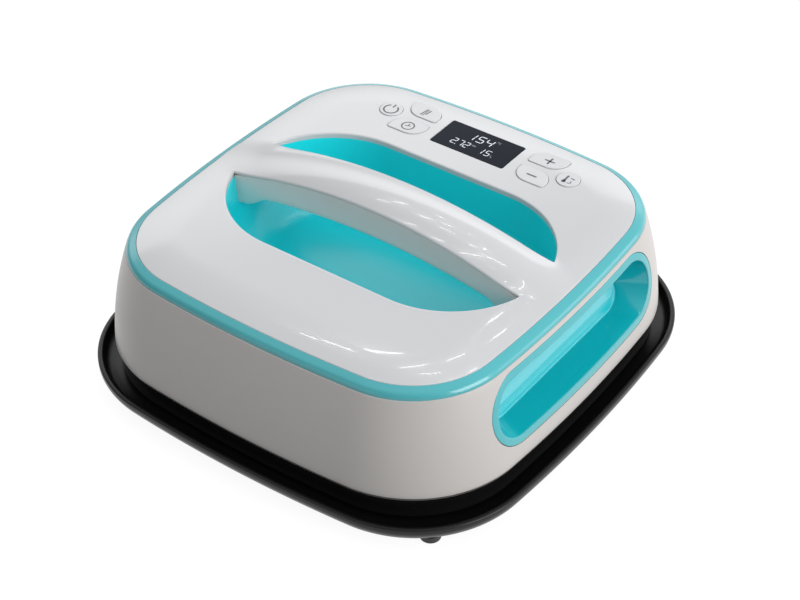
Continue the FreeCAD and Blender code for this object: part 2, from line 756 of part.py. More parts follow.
def recess_space(inset):
    """Open space of the recess and straight above it, shrunk by inset."""
    top, start, end, bow = bowl_curve(-inset)
    high = HANDLE_EDGE_Z + HANDLE_CROWN
    rim = swept(OPENING, section(
        (-BOWL_CORE_IN, end[1]), end, (start[0], start[1], bow), (top, COVER_UNDER_Z),
        (-inset, COVER_UNDER_Z + SCREW_FIT), (-inset, high), (-BOWL_CORE_IN, high),
    ))
    return rim.fuse(prism(flat(OPENING, end[1], BOWL_CORE_IN), high - end[1]))


def recess_bowl():
    """Teal dish with a flange that is screwed up to the cover."""
    draft = math.tan(math.radians(BOWL_DRAFT))
    top, start, end, bow = bowl_curve(0.0)
    out_top, out_start, out_end, _ = bowl_curve(BOWL_WALL)
    out_corner = (out_start[0] - (out_start[1] - out_end[1]) * draft, out_end[1])
    soft = BOWL_ROUND / 2
    flange_u = BOWL_WALL + BOWL_FLANGE
    wall = swept(OPENING, section(
        (-BOWL_CORE_IN, out_end[1]), (out_corner[0] - soft, out_corner[1]),
        (out_corner[0] + soft * draft, out_corner[1] + soft),
        (out_top - BOWL_WALL * draft, BOWL_FLANGE_Z), (flange_u, BOWL_FLANGE_Z), (flange_u, COVER_UNDER_Z),
        (top, COVER_UNDER_Z), start, (end[0], end[1], -bow), (-BOWL_CORE_IN, end[1]),
    ))
    floor = prism(flat(OPENING, out_end[1], BOWL_CORE_IN), BOWL_WALL)
    ears = bars(BOSS_R + PAST, BOWL_SCREWS, BOWL_FLANGE_Z, COVER_UNDER_Z)
    holes = bars(SCREW_R + SCREW_FIT, BOWL_SCREWS, BOWL_FLANGE_Z - PAST, COVER_UNDER_Z + PAST)
    return joined([wall, floor] + ears).cut(holes)


# Buttons, window and boards

def screw(x, y, under_z, tip_z):
    """Screw driven upward: its head hangs below under_z."""
    head = bar(SCREW_HEAD_R, x, y, under_z - SCREW_HEAD, under_z)
    return head.fuse(bar(SCREW_R, x, y, under_z - SCREW_HEAD / 2, tip_z))


def screws(places, under_z, tip_z):
    return Part.makeCompound([screw(x, y, under_z, tip_z) for x, y in places])


def button(name):
    """Cap, retaining flange under the cover, and stem down to the switch."""
    x, y, _ = BUTTONS[name]
    cap = button_prism(name, 0.0, FLANGE_Z, COVER_TOP_Z + BUTTON_PROUD)
    flange = button_prism(name, BUTTON_FLANGE, FLANGE_Z, FLANGE_TOP_Z)
    stem = bar(BUTTON_STEM_R, x, y, SWITCH_TOP_Z + BUTTON_TRAVEL + SCREW_FIT, FLANGE_TOP_Z)
    return joined([cap, flange, stem])


def tact_switches():
    pieces = []
    body_top = SWITCH_TOP_Z - SWITCH_PLUNGER
    for x, y, _ in BUTTONS.values():
        body = box(x, y, SWITCH_SIZE, SWITCH_SIZE, BOARD_TOP_Z, body_top)
        pieces.append(body.fuse(bar(SWITCH_PLUNGER_R, x, y, BOARD_TOP_Z, SWITCH_TOP_Z)))
    return Part.makeCompound(pieces)


def board(half_x, front_y, rear_y, low_z, fixings):
    """Circuit board with rounded corners and its screw holes."""
    centre_y = (front_y + rear_y) / 2
    wire = rounded(half_x, (rear_y - front_y) / 2, [BOARD_CORNER] * 4, low_z, 0, centre_y)
    holes = bars(SCREW_R + SCREW_FIT, fixings, low_z - PAST, low_z + BOARD_THICK + PAST)
    return prism(wire, BOARD_THICK).cut(holes)


def display_module():
    """Glass display sunk in its frame, from the board up to just below the window."""
    frame = box(0, WINDOW_CENTRE_Y, MODULE_X, MODULE_Y, BOARD_TOP_Z, FLANGE_TOP_Z)
    inner_x = MODULE_X - 2 * MODULE_BORDER
    inner_y = MODULE_Y - 2 * MODULE_BORDER
    sink_z = FLANGE_TOP_Z - MODULE_GLASS_SINK
    return frame.cut(box(0, WINDOW_CENTRE_Y, inner_x, inner_y, sink_z, COVER_UNDER_Z))


def buzzer():
    return rod(BUZZER_R, 0, BUZZER_Y, BOARD_UNDER_Z - BUZZER_HEIGHT, BOARD_UNDER_Z)


# Power board

def standing(x, y, size):
    """Block of the given size on the power board."""
    return box(x, y, size[0], size[1], POWER_TOP_Z, POWER_TOP_Z + size[2])


def power_screws():
    pieces = []
    for x, y in POWER_SCREWS:
        head = bar(SCREW_HEAD_R, x, y, POWER_TOP_Z, POWER_TOP_Z + SCREW_HEAD)
        pieces.append(head.fuse(bar(SCREW_R, x, y, POWER_TOP_Z - SCREW_BITE, POWER_TOP_Z + SCREW_HEAD / 2)))
    return Part.makeCompound(pieces)


def capacitors():
    cans = []
    for x, radius, height in CAPACITORS:
        cans.append(rod(radius, x, POWER_MIDDLE_Y, POWER_TOP_Z, POWER_TOP_Z + height))
    return Part.makeCompound(cans)


def transformer():
    y = POWER_REAR_Y - TRANSFORMER_IN
    return standing(TRANSFORMER_X, y, CORE_SIZE).fuse(standing(TRANSFORMER_X, y, COIL_SIZE))


def terminal_block():
    """Screw terminals for the mains and heater leads."""
    top = POWER_TOP_Z + TERMINAL_SIZE[2]
    places = [(TERMINAL_X, POWER_MIDDLE_Y + step * TERMINAL_PITCH) for step in (-1, 0, 1)]
    wells = bars(TERMINAL_WELL_R, places, top - TERMINAL_WELL_DEPTH, top + PAST)
    return standing(TERMINAL_X, POWER_MIDDLE_Y, TERMINAL_SIZE).cut(wells)


# Chassis, hot plate and insulation

def chassis():
    """Skirt round the plate, flange under the wall, floor over the plate, and its legs."""
    inside_u = SKIRT_OUT - SKIRT_WALL
    flange_u = FLARE - SKIRT_FLANGE_IN
    neck_in = WALL_THICK + NECK_GAP
    shell = swept(BODY, section(
        (inside_u, SKIRT_BOTTOM_Z), (SKIRT_OUT, SKIRT_BOTTOM_Z), (SKIRT_OUT, SKIRT_FLANGE_Z),
        (flange_u, SKIRT_FLANGE_Z), (flange_u, WALL_BOTTOM_Z),
        (wall_u(WALL_BOTTOM_Z, neck_in), WALL_BOTTOM_Z),
        (wall_u(FLOOR_TOP_Z, neck_in), FLOOR_TOP_Z), (-CORE_IN, FLOOR_TOP_Z), (-CORE_IN, FLOOR_UNDER_Z),
        (inside_u, FLOOR_UNDER_Z),
    ))
    floor = prism(flat(BODY, FLOOR_UNDER_Z, CORE_IN), FLOOR_THICK)
    legs = bars(POST_R, PLATE_SCREWS, PLATE_TOP_Z, FLOOR_TOP_Z)
    legs += bars(FORCE_SENSOR_R, FORCE_SENSORS, FORCE_TOP_Z, FLOOR_TOP_Z)
    legs += bars(BOSS_R, POWER_SCREWS, FLOOR_UNDER_Z, POWER_Z)
    holes = bars(BIG_SCREW_R + SCREW_FIT, PLATE_SCREWS + HOUSING_POSTS, PLATE_BOTTOM_Z, POWER_Z)
    holes += bars(SCREW_R + SCREW_FIT, POWER_SCREWS, POWER_TOP_Z - SCREW_BITE - SCREW_FIT, POWER_Z + PAST)
    holes += bars(ELEMENT_R + PAST, TERMINALS, PLATE_BOTTOM_Z, POWER_Z)
    return joined([shell, floor] + legs).cut(holes)


def element(radius):
    """Flat-sided heater loop: a rounded square with two upright terminals at the rear."""
    z = PLATE_TOP_Z
    loop = swept(straight_runs(ELEMENT_HALF, ELEMENT_HALF, ELEMENT_CORNER), section(
        (-radius, z - radius), (radius, z - radius), (radius, z + radius), (-radius, z + radius)
    ))
    gap = box(0, ELEMENT_HALF, ELEMENT_GAP - 2 * radius, 4 * radius, PLATE_BOTTOM_Z, BLANKET_Z)
    return joined([loop.cut(gap)] + [rod(radius, x, y, z, ELEMENT_TERMINAL_Z) for x, y in TERMINALS])


def heating_plate():
    """Flat coated plate with a groove for the heater tube and threaded holes near its edge."""
    inset = PLATE_GAP + SKIRT_WALL - SKIRT_OUT
    plate = prism(flat(BODY, PLATE_BOTTOM_Z, inset), PLATE_THICK)
    rim = [edge for edge in plate.Edges if edge.BoundBox.ZMax < PLATE_BOTTOM_Z + SCREW_FIT]
    plate = plate.makeChamfer(PLATE_CHAMFER, rim)
    hole_z = PLATE_TOP_Z - PLATE_THICK / 2 - PAST
    holes = bars(BIG_SCREW_R + SCREW_FIT, PLATE_SCREWS, hole_z, PLATE_TOP_Z + PAST)
    return plate.cut([element(ELEMENT_R + SCREW_FIT)] + holes)


def sheet(low_z, high_z, grow):
    """Rounded square over the plate."""
    half = BLANKET_HALF + grow
    return prism(rounded(half, half, [BLANKET_CORNER + grow] * 4, low_z), high_z - low_z)


def sheet_holes(margin):
    """Holes for the cut-off, the sensor and the heater's terminals."""
    holes = [rod(CUTOFF_R + margin, 0, 0, PLATE_TOP_Z, FLOOR_TOP_Z)]
    holes.append(rod(SENSOR_R + margin, SENSOR_X, 0, PLATE_TOP_Z, FLOOR_TOP_Z))
    for x, y in TERMINALS:
        holes.append(rod(ELEMENT_R + margin, x, y, PLATE_TOP_Z, FLOOR_TOP_Z))
    return holes


def insulation_blanket():
    return sheet(BLANKET_Z, BLANKET_Z + BLANKET_THICK, 0).cut(sheet_holes(HEAT_GAP))


def heat_shield():
    """Pressed sheet lid over the blanket, with its edge turned down to the plate."""
    lid = sheet(PLATE_TOP_Z, SHIELD_TOP_Z, SHIELD_MARGIN + SHIELD_THICK)
    inside = sheet(PLATE_BOTTOM_Z, SHIELD_TOP_Z - SHIELD_THICK, SHIELD_MARGIN)
    return lid.cut([inside] + sheet_holes(PAST))


def plate_screws():
    pieces = []
    for x, y in PLATE_SCREWS:
        head = bar(BIG_HEAD_R, x, y, FLOOR_TOP_Z, FLOOR_TOP_Z + BIG_HEAD)
        pieces.append(head.fuse(bar(BIG_SCREW_R, x, y, PLATE_TOP_Z - PLATE_THICK / 2, FLOOR_TOP_Z + PAST)))
    return Part.makeCompound(pieces)


def housing_screws():
    pieces = []
    for x, y in HOUSING_POSTS:
        head = bar(BIG_HEAD_R, x, y, FLOOR_UNDER_Z - BIG_HEAD, FLOOR_UNDER_Z)
        pieces.append(head.fuse(bar(BIG_SCREW_R, x, y, FLOOR_UNDER_Z - PAST, FLOOR_TOP_Z + BIG_BITE)))
    return Part.makeCompound(pieces)


# Cord inlet

def cord_inlet():
    """Rubber bush in the rear wall: outer flange, neck, inner flange and a blind bore."""
    back = V(0, 1, 0)
    wall_y = RING_HALF_Y + wall_u(INLET_Z)
    mouth_y = wall_y + INLET_OUT
    bore_y = mouth_y - INLET_DEPTH
    start_y = bore_y - INLET_END_WALL
    flange = Part.makeCylinder(INLET_FLANGE_R, mouth_y - bore_y, V(0, bore_y, INLET_Z), back)
    rim = [edge for edge in flange.Edges if edge.BoundBox.YMin > mouth_y - SCREW_FIT]
    flange = flange.makeChamfer(INLET_CHAMFER, rim).cut(wall_filled(0.0))
    neck = Part.makeCylinder(INLET_NECK_R, mouth_y - start_y - INLET_CHAMFER, V(0, start_y, INLET_Z), back)
    inner_y = wall_y - WALL_THICK - INLET_INNER_FLANGE
    inner = Part.makeCylinder(INLET_FLANGE_R, INLET_DEPTH, V(0, inner_y, INLET_Z), back)
    inner = inner.common(wall_filled(0.0)).cut(wall_shell())
    bore = Part.makeCylinder(INLET_BORE_R, INLET_DEPTH + PAST, V(0, bore_y, INLET_Z), back)
    return joined([flange, neck, inner]).cut(bore)


# Stand

def base_tray():
    """Shallow dish with a raised lip."""
    lip_z = LIP_TOP_Z - LIP_CHAMFER
    far, near = TRAY_HEEL
    step, well = TRAY_WELL
    rim = swept(TRAY, section(
        (-TRAY_CORE_IN, TRAY_BOTTOM_Z), (-far, TRAY_BOTTOM_Z), (-near, TRAY_HEEL_Z), (0, LIP_Z),
        (0, lip_z), (-LIP_CHAMFER, LIP_TOP_Z), (LIP_CHAMFER - LIP_THICK, LIP_TOP_Z), (-LIP_THICK, lip_z),
        (-LIP_THICK, LIP_Z), (-LIP_THICK - step, TRAY_WELL_Z), (-LIP_THICK - well, TRAY_FLOOR_Z),
        (-TRAY_CORE_IN, TRAY_FLOOR_Z),
    ))
    floor = prism(flat(TRAY, TRAY_BOTTOM_Z, TRAY_CORE_IN), TRAY_FLOOR_Z - TRAY_BOTTOM_Z)
    holes = bars(SCREW_R + SCREW_FIT, FEET, 0, TRAY_FLOOR_Z - PAST / 2)
    return rim.fuse(floor).cut(holes)


def base_feet():
    """Rubber feet, each with a well for its screw's head."""
    pieces = []
    head_top = FOOT_HEAD_Z + SCREW_HEAD
    for x, y in FEET:
        foot = rod(FOOT_R, x, y, 0, TRAY_BOTTOM_Z)
        rim = [edge for edge in foot.Edges if edge.BoundBox.ZMax < SCREW_FIT]
        well = bar(SCREW_HEAD_R + SEAM, x, y, 0, head_top)
        hole = bar(SCREW_R + SCREW_FIT, x, y, 0, TRAY_FLOOR_Z)
        pieces.append(foot.makeChamfer(FOOT_CHAMFER, rim).cut([well, hole]))
    return Part.makeCompound(pieces)


def rest_pads():
    """Silicone pads on the tray floor that carry the hot plate."""
    pads = []
    for x, y in four(PAD_AT, PAD_AT):
        pads.append(box(x, y, PAD_SIZE, PAD_SIZE, TRAY_FLOOR_Z, PLATE_BOTTOM_Z))
    return Part.makeCompound(pads)


def save_stand():
    save("base_tray", base_tray())
    save("base_feet", base_feet())
    save("foot_screws", screws(FEET, FOOT_HEAD_Z + SCREW_HEAD, TRAY_FLOOR_Z - PAST / 2 - SCREW_FIT))
    save("rest_pads", rest_pads())


def save_housing():
    save("lower_housing", lower_housing())
    grip = side_grip()
    save("side_grip_right", grip)
    save("side_grip_left", mirrored(grip))
    save("trim_ring", trim_ring())
    save("top_cover", top_cover())
    save("recess_bowl", recess_bowl())
    save("handle_grip", handle_grip())
    save("handle_screws", handle_screws())
    save("cover_screws", screws(COVER_SCREWS, LEDGE_BOTTOM_Z, COVER_UNDER_Z))
    save("bowl_screws", screws(BOWL_SCREWS, BOWL_FLANGE_Z, COVER_UNDER_Z + COVER_THICK / 3))
    save("cord_inlet", cord_inlet())


def save_panel():
    save("display_window", window_prism(0.0, COVER_TOP_Z - WINDOW_THICK, COVER_TOP_Z))
    save("display_module", display_module())
    save("control_board", board(BOARD_HALF_X, BOARD_FRONT_Y, BOARD_REAR_Y, BOARD_UNDER_Z, BOARD_SCREWS))
    save("board_screws", screws(BOARD_SCREWS, BOARD_UNDER_Z, BOARD_TOP_Z + SCREW_BITE))
    save("tact_switches", tact_switches())
    save("buzzer", buzzer())
    for name in BUTTONS:
        save(name, button(name))


def save_heater():
    save("chassis", chassis())
    save("housing_screws", housing_screws())
    save("heating_plate", heating_plate())
    save("heating_element", element(ELEMENT_R))
    save("plate_screws", plate_screws())
    save("insulation_blanket", insulation_blanket())
    save("heat_shield", heat_shield())
    save("thermal_cutoff", rod(CUTOFF_R, 0, 0, PLATE_TOP_Z, PLATE_TOP_Z + CUTOFF_HEIGHT))
    save("temperature_sensor", rod(SENSOR_R, SENSOR_X, 0, PLATE_TOP_Z, PLATE_TOP_Z + SENSOR_HEIGHT))
    save("force_sensors", Part.makeCompound(bars(FORCE_SENSOR_R, FORCE_SENSORS, PLATE_TOP_Z, FORCE_TOP_Z)))


def save_power():
    save("power_board", board(POWER_HALF_X, POWER_FRONT_Y, POWER_REAR_Y, POWER_Z, POWER_SCREWS))
    save("power_board_screws", power_screws())
    save("power_relay", standing(RELAY_X, POWER_FRONT_Y + RELAY_IN, RELAY_SIZE))
    save("power_transformer", transformer())
    save("capacitors", capacitors())
    save("terminal_block", terminal_block())


def build():
    os.makedirs("parts", exist_ok=True)
    save_stand()
    save_housing()
    save_panel()
    save_heater()
    save_power()
    for name, solids, sound, volume in SAVED:
        print(f"{name:22s} solids {solids:2d}  sound {sound}  volume {volume / 1000:8.2f} cm3")


build()
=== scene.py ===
import json
import math

import bmesh
import bpy
from mathutils import Matrix, Vector
from mathutils.geometry import delaunay_2d_cdt


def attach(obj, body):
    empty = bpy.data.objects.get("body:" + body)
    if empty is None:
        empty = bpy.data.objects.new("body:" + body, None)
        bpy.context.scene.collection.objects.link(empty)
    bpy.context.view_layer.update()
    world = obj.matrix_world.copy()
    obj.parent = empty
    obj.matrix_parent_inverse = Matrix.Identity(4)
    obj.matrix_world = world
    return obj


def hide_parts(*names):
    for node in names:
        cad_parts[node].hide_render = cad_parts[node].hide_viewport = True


MM = 0.001
SHARP_ANGLE = math.radians(38)

# Sizes repeated from the part's source, in millimetres
RING_HALF_X = 120.0
RING_HALF_Y = 121.0
RING_CORNER = 56.0
SIDE_BULGE = 8.6
RING_Z = 85.0
RING_EDGE = 1.5
RING_SLOPE_IN = 5.7
RING_TOP_Z = 88.7
WALL_TOP_Z = RING_Z - RING_EDGE
WALL_BOTTOM_Z = 26.6
WALL_THICK = 2.5
WALL_LOW = WALL_BOTTOM_Z + 0.6
WALL_HIGH = WALL_TOP_Z - 0.4
FLARE = 11.3
FLARE_BOW = 2.1
COVER_TOP_Z = 91.0
COVER_UNDER_Z = 88.0
COVER_GAP = 0.15
SHOULDER_IN = 24.0
OPENING_HALF_X = 98.5
OPENING_HALF_Y = 57.2
OPENING_CORNER = 57.0
BOWL_FLOOR_Z = 49.0
BOWL_ROUND = 24.0
BOWL_DRAFT = math.radians(7.0)
HANDLE_SHIFT = 1.0
HANDLE_HALF_WIDTH = 16.0
HANDLE_END_WIDEN = 1.6
HANDLE_END_FLARE = 5.5
HANDLE_END_BLEND = 4.0
HANDLE_EDGE_Z = 104.4
HANDLE_ARCH_R = 330.0
HANDLE_CROWN = 3.0
HANDLE_SKIN_EDGE = 1.1
RIM_ROUND = 0.8
HANDLE_DEPTH = 16.0
HANDLE_BELLY = 3.6
HANDLE_REACH_X = 116.0
HANDLE_REACH_Y = 32.0
FLARE_FROM_X = 74.0
FLARE_RUN = 15.0
GRIP_HALF_Y = 78.5
GRIP_HALF_Z = 21.8
GRIP_CENTRE_Z = 59.1
GRIP_BEZEL = 4.6
GRIP_BACK_X = 111.5
GRIP_BACK_HALF_Y = 67.0
GRIP_BACK_SHRINK = 1.4
GRIP_BACK_HALF_Z = GRIP_HALF_Z - GRIP_BEZEL - GRIP_BACK_SHRINK
GRIP_LEAN_TOP = 10.0
GRIP_ROUND = 0.8
GRIP_GAP = 0.15
WINDOW_X = 50.0
WINDOW_Y = 25.2
WINDOW_CENTRE_Y = 86.9
WINDOW_CORNER = 1.1
WINDOW_THICK = 1.6
ROUND_BUTTON_R = 6.85
LEAF_X = 21.6
LEAF_Y = 13.4
LEAF_BIG_R = 9.5
LEAF_SMALL_R = 1.6
BUTTON_GAP = 0.2
BUTTON_PROUD = 0.5
WINDOW_GAP = 0.15
PRINT_Z = 0.03
TRAY_HALF_X = 140.0
TRAY_HALF_Y = 141.5
TRAY_CORNER = 70.0
TRAY_BULGE = 11.2
TRAY_BOTTOM_Z = 4.5
TRAY_FLOOR_Z = 8.0
LIP_TOP_Z = 15.4
LIP_THICK = 3.0
SKIRT_OUT = FLARE - 2.5
SKIRT_FLANGE_Z = 25.0
SKIRT_BOTTOM_Z = 11.8
SKIRT_WALL = 2.8
FOOT_R = 5.8
FOOT_X = 108.0
FOOT_Y = 112.0

# Spacing of points along the body's and base's outlines, and over the cover
BODY_STEP = 2.0
TRAY_STEP = 2.5
FIELD_STEP = 2.0
FIELD_ROW = 0.866

# Each button's centre, and 1 or -1 for the two ways that a leaf outline lies, 0 for a round one
BUTTONS = {
    "button_power": (-61.5, 87.0, 0),
    "button_unit": (61.5, 87.0, 0),
    "button_timer": (-43.0, 78.4, 1),
    "button_temperature": (-43.0, 96.4, -1),
    "button_minus": (43.0, 78.4, -1),
    "button_plus": (43.0, 96.4, 1),
}

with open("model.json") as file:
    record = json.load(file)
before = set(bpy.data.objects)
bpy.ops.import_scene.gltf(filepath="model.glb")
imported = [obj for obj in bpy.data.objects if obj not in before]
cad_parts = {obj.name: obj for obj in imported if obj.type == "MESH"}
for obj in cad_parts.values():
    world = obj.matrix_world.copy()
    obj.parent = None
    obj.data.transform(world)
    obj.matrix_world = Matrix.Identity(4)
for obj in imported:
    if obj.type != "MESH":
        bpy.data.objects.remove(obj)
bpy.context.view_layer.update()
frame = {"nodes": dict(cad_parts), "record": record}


# Outlines: lists of (point, outward normal), counter-clockwise, in plan

def direction(angle):
    return Vector((math.cos(angle), math.sin(angle)))


def bulged_arcs(half_x, half_y, corner, bulge):
    """Arcs round a square with bulging sides: centre, radius, first and last angle."""
    side_x = (half_y ** 2 + bulge ** 2) / (2 * bulge)
    side_y = (half_x ** 2 + bulge ** 2) / (2 * bulge)
    centre_x = Vector((half_x - side_x, 0))
    centre_y = Vector((0, half_y - side_y))
    span = centre_y - centre_x
    reach_x = side_x - corner
    reach_y = side_y - corner
    along = (reach_x ** 2 - reach_y ** 2 + span.length ** 2) / (2 * span.length)
    across = math.sqrt(reach_x ** 2 - along ** 2)
    unit = span / span.length
    at = centre_x + unit * along + Vector((-unit.y, unit.x)) * across
    low = math.atan2(at.y, at.x - centre_x.x)
    high = math.atan2(at.y - centre_y.y, at.x)
    quarter = [(centre_x, side_x, 0, low), (at, corner, low, high), (centre_y, side_y, high, math.pi / 2)]
    arcs = list(quarter)
    for centre, radius, first, last in reversed(quarter):
        arcs.append((Vector((-centre.x, centre.y)), radius, math.pi - last, math.pi - first))
    for centre, radius, first, last in quarter:
        arcs.append((-centre, radius, math.pi + first, math.pi + last))
    for centre, radius, first, last in reversed(quarter):
        arcs.append((Vector((centre.x, -centre.y)), radius, 2 * math.pi - last, 2 * math.pi - first))
    return arcs


def arc_outline(arcs, step):
    """Points along arcs, about step apart."""
    rows = []
    for centre, radius, first, last in arcs:
        count = max(2, round(radius * (last - first) / step))
        for i in range(count):
            normal = direction(first + (last - first) * i / count)
            rows.append((centre + normal * radius, normal))
    return rows


def corner_outline(half_x, half_y, radii, step, at=(0.0, 0.0)):
    """Rectangle with its own radius at the front right, rear right, rear left and front left."""
    rows = []
    signs = ((1, -1), (1, 1), (-1, 1), (-1, -1))
    for turn, ((sx, sy), radius) in enumerate(zip(signs, radii)):
        centre = Vector((at[0] + sx * (half_x - radius), at[1] + sy * (half_y - radius)))
        first = math.pi / 2 * (turn - 1)
        count = max(4, round(radius * math.pi / 2 / step))
        for i in range(count + 1):
            normal = direction(first + math.pi / 2 * i / count)
            rows.append((centre + normal * radius, normal))
        next_sx, next_sy = signs[(turn + 1) % 4]
        next_r = radii[(turn + 1) % 4]
        next_centre = Vector((at[0] + next_sx * (half_x - next_r), at[1] + next_sy * (half_y - next_r)))
        end = next_centre + normal * next_r
        start = rows[-1][0]
        length = (end - start).length
        count = int(length / step)
        for i in range(1, count + 1):
            if length * i / (count + 1) > 0:
                rows.append((start + (end - start) * i / (count + 1), normal))
    return rows


BODY_ARCS = bulged_arcs(RING_HALF_X, RING_HALF_Y, RING_CORNER, SIDE_BULGE)
TRAY_ARCS = bulged_arcs(TRAY_HALF_X, TRAY_HALF_Y, TRAY_CORNER, TRAY_BULGE)
BODY = arc_outline(BODY_ARCS, BODY_STEP)
TRAY = arc_outline(TRAY_ARCS, TRAY_STEP)
OPENING = corner_outline(OPENING_HALF_X, OPENING_HALF_Y, [OPENING_CORNER] * 4, 1.5)


# Profiles: lists of (u outward, z) points

def bend(start, corner, end, count):
    """Points of a soft corner from start to end, pulled towards corner."""
    rows = []
    for i in range(count + 1):
        t = i / count
        a = (1 - t) ** 2
        b = 2 * t * (1 - t)
        rows.append(tuple(a * start[k] + b * corner[k] + t * t * end[k] for k in (0, 1)))
    return rows


def soft_profile(points, count=5):
    """Profile through (u, z, radius) points, with each corner rounded and held by support points."""
    rows = [points[0][:2]]
    for before, at, after in zip(points, points[1:], points[2:]):
        radius = at[2] if len(at) > 2 else 0
        here = Vector(at[:2])
        back = Vector(before[:2]) - here
        onward = Vector(after[:2]) - here
        reach = min(radius, back.length * 0.48, onward.length * 0.48)
        if reach <= 0:
            rows.append(tuple(here))
            continue
        back.normalize()
        onward.normalize()
        hold = reach * 1.12
        rows.append(tuple(here + back * hold))
        rows += bend(here + back * reach, here, here + onward * reach, count)
        rows.append(tuple(here + onward * hold))
    rows.append(points[-1][:2])
    return rows


def wall_u(z):
    """How far the wall stands outside the ring's outer edge at height z."""
    drop = RING_Z - WALL_BOTTOM_Z
    chord = math.hypot(FLARE, drop)
    radius = (chord ** 2 / 4 + FLARE_BOW ** 2) / (2 * FLARE_BOW)
    back = radius - FLARE_BOW
    u = FLARE / 2 - back * drop / chord
    centre_z = (RING_Z + WALL_BOTTOM_Z) / 2 - back * FLARE / chord
    return u + math.sqrt(radius ** 2 - (z - centre_z) ** 2)


def wall_x(y, z):
    """Where the right-hand wall's surface is, at that y and z."""
    u = wall_u(z)
    (side, side_r, _, last), (corner, corner_r, _, _) = BODY_ARCS[0], BODY_ARCS[1]
    if abs(y) <= (side_r + u) * math.sin(last):
        return side.x + math.sqrt((side_r + u) ** 2 - y * y)
    return corner.x + math.sqrt((corner_r + u) ** 2 - (abs(y) - corner.y) ** 2)


# Mesh helpers

def new_piece(name, vertices, faces, material, body="press", replaced=(), smooth=True):
    mesh = bpy.data.meshes.new(name)
    mesh.from_pydata([tuple(c * MM for c in v) for v in vertices], [], faces)
    mesh.validate()
    mesh.update()
    if smooth:
        mesh.shade_smooth()
        mesh.set_sharp_from_angle(angle=SHARP_ANGLE)
    mesh.materials.append(material)
    piece = bpy.data.objects.new(name, mesh)
    bpy.context.scene.collection.objects.link(piece)
    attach(piece, body)
    if replaced:
        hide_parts(*replaced)
    return piece


def bands(rows, count, base=0):
    """Quads between rows of count points each, closed all the way round."""
    faces = []
    for row in range(rows - 1):
        low = base + row * count
        high = low + count
        for i in range(count):
            j = (i + 1) % count
            faces.append((low + i, low + j, high + j, high + i))
    return faces


def edge_band(upper, lower):
    """Quads between two closed loops of point numbers."""
    faces = []
    for i in range(len(upper)):
        j = (i + 1) % len(upper)
        faces.append((upper[j], upper[i], lower[i], lower[j]))
    return faces


def sweep(outline, profile, cap_first=False, cap_last=False):
    """Vertices and faces of a profile carried round an outline."""
    vertices = []
    for u, z in profile:
        for point, normal in outline:
            at = point + normal * u
            vertices.append((at.x, at.y, z))
    count = len(outline)
    faces = bands(len(profile), count)
    if cap_first:
        faces.append(tuple(reversed(range(count))))
    if cap_last:
        faces.append(tuple(range(len(vertices) - count, len(vertices))))
    return vertices, faces


def make_solid(name, outline, profile, material, body="press", replaced=(),
               cap_first=False, cap_last=False):
    """Piece whose profile is carried round an outline."""
    vertices, faces = sweep(outline, profile, cap_first, cap_last)
    new_piece(name, vertices, faces, material, body, replaced)


def inside(point, polygon):
    x, y = point
    hit = False
    before = polygon[-1]
    for at in polygon:
        if (at[1] > y) != (before[1] > y):
            if x < (before[0] - at[0]) * (y - at[1]) / (before[1] - at[1]) + at[0]:
                hit = not hit
        before = at
    return hit


def triangulate(points, edges, wanted):
    """Points, their upward triangles whose middles are wanted, and the new number of each given point."""
    found = delaunay_2d_cdt([Vector(p) for p in points], edges, [], 0, 1e-5, True)
    flat_points, triangles, source = found[0], found[2], found[3]
    faces = []
    for a, b, c in triangles:
        middle_x = (flat_points[a].x + flat_points[b].x + flat_points[c].x) / 3
        middle_y = (flat_points[a].y + flat_points[b].y + flat_points[c].y) / 3
        if not wanted((middle_x, middle_y)):
            continue
        area = (flat_points[b].x - flat_points[a].x) * (flat_points[c].y - flat_points[a].y)
        area -= (flat_points[c].x - flat_points[a].x) * (flat_points[b].y - flat_points[a].y)
        faces.append((a, b, c) if area > 0 else (a, c, b))
    return flat_points, faces, {old: new for new, olds in enumerate(source) for old in olds}


# Materials

BUMP_DEPTH = 0.0002
COAT_ROUGHNESS = 0.02


def srgb(r, g, b):
    def lin(c):
        c = c / 255
        return c / 12.92 if c <= 0.04045 else ((c + 0.055) / 1.055) ** 2.4
    return (lin(r), lin(g), lin(b), 1.0)


def shade(colour, factor):
    return tuple(min(1.0, c * factor) for c in colour[:3]) + (1.0,)


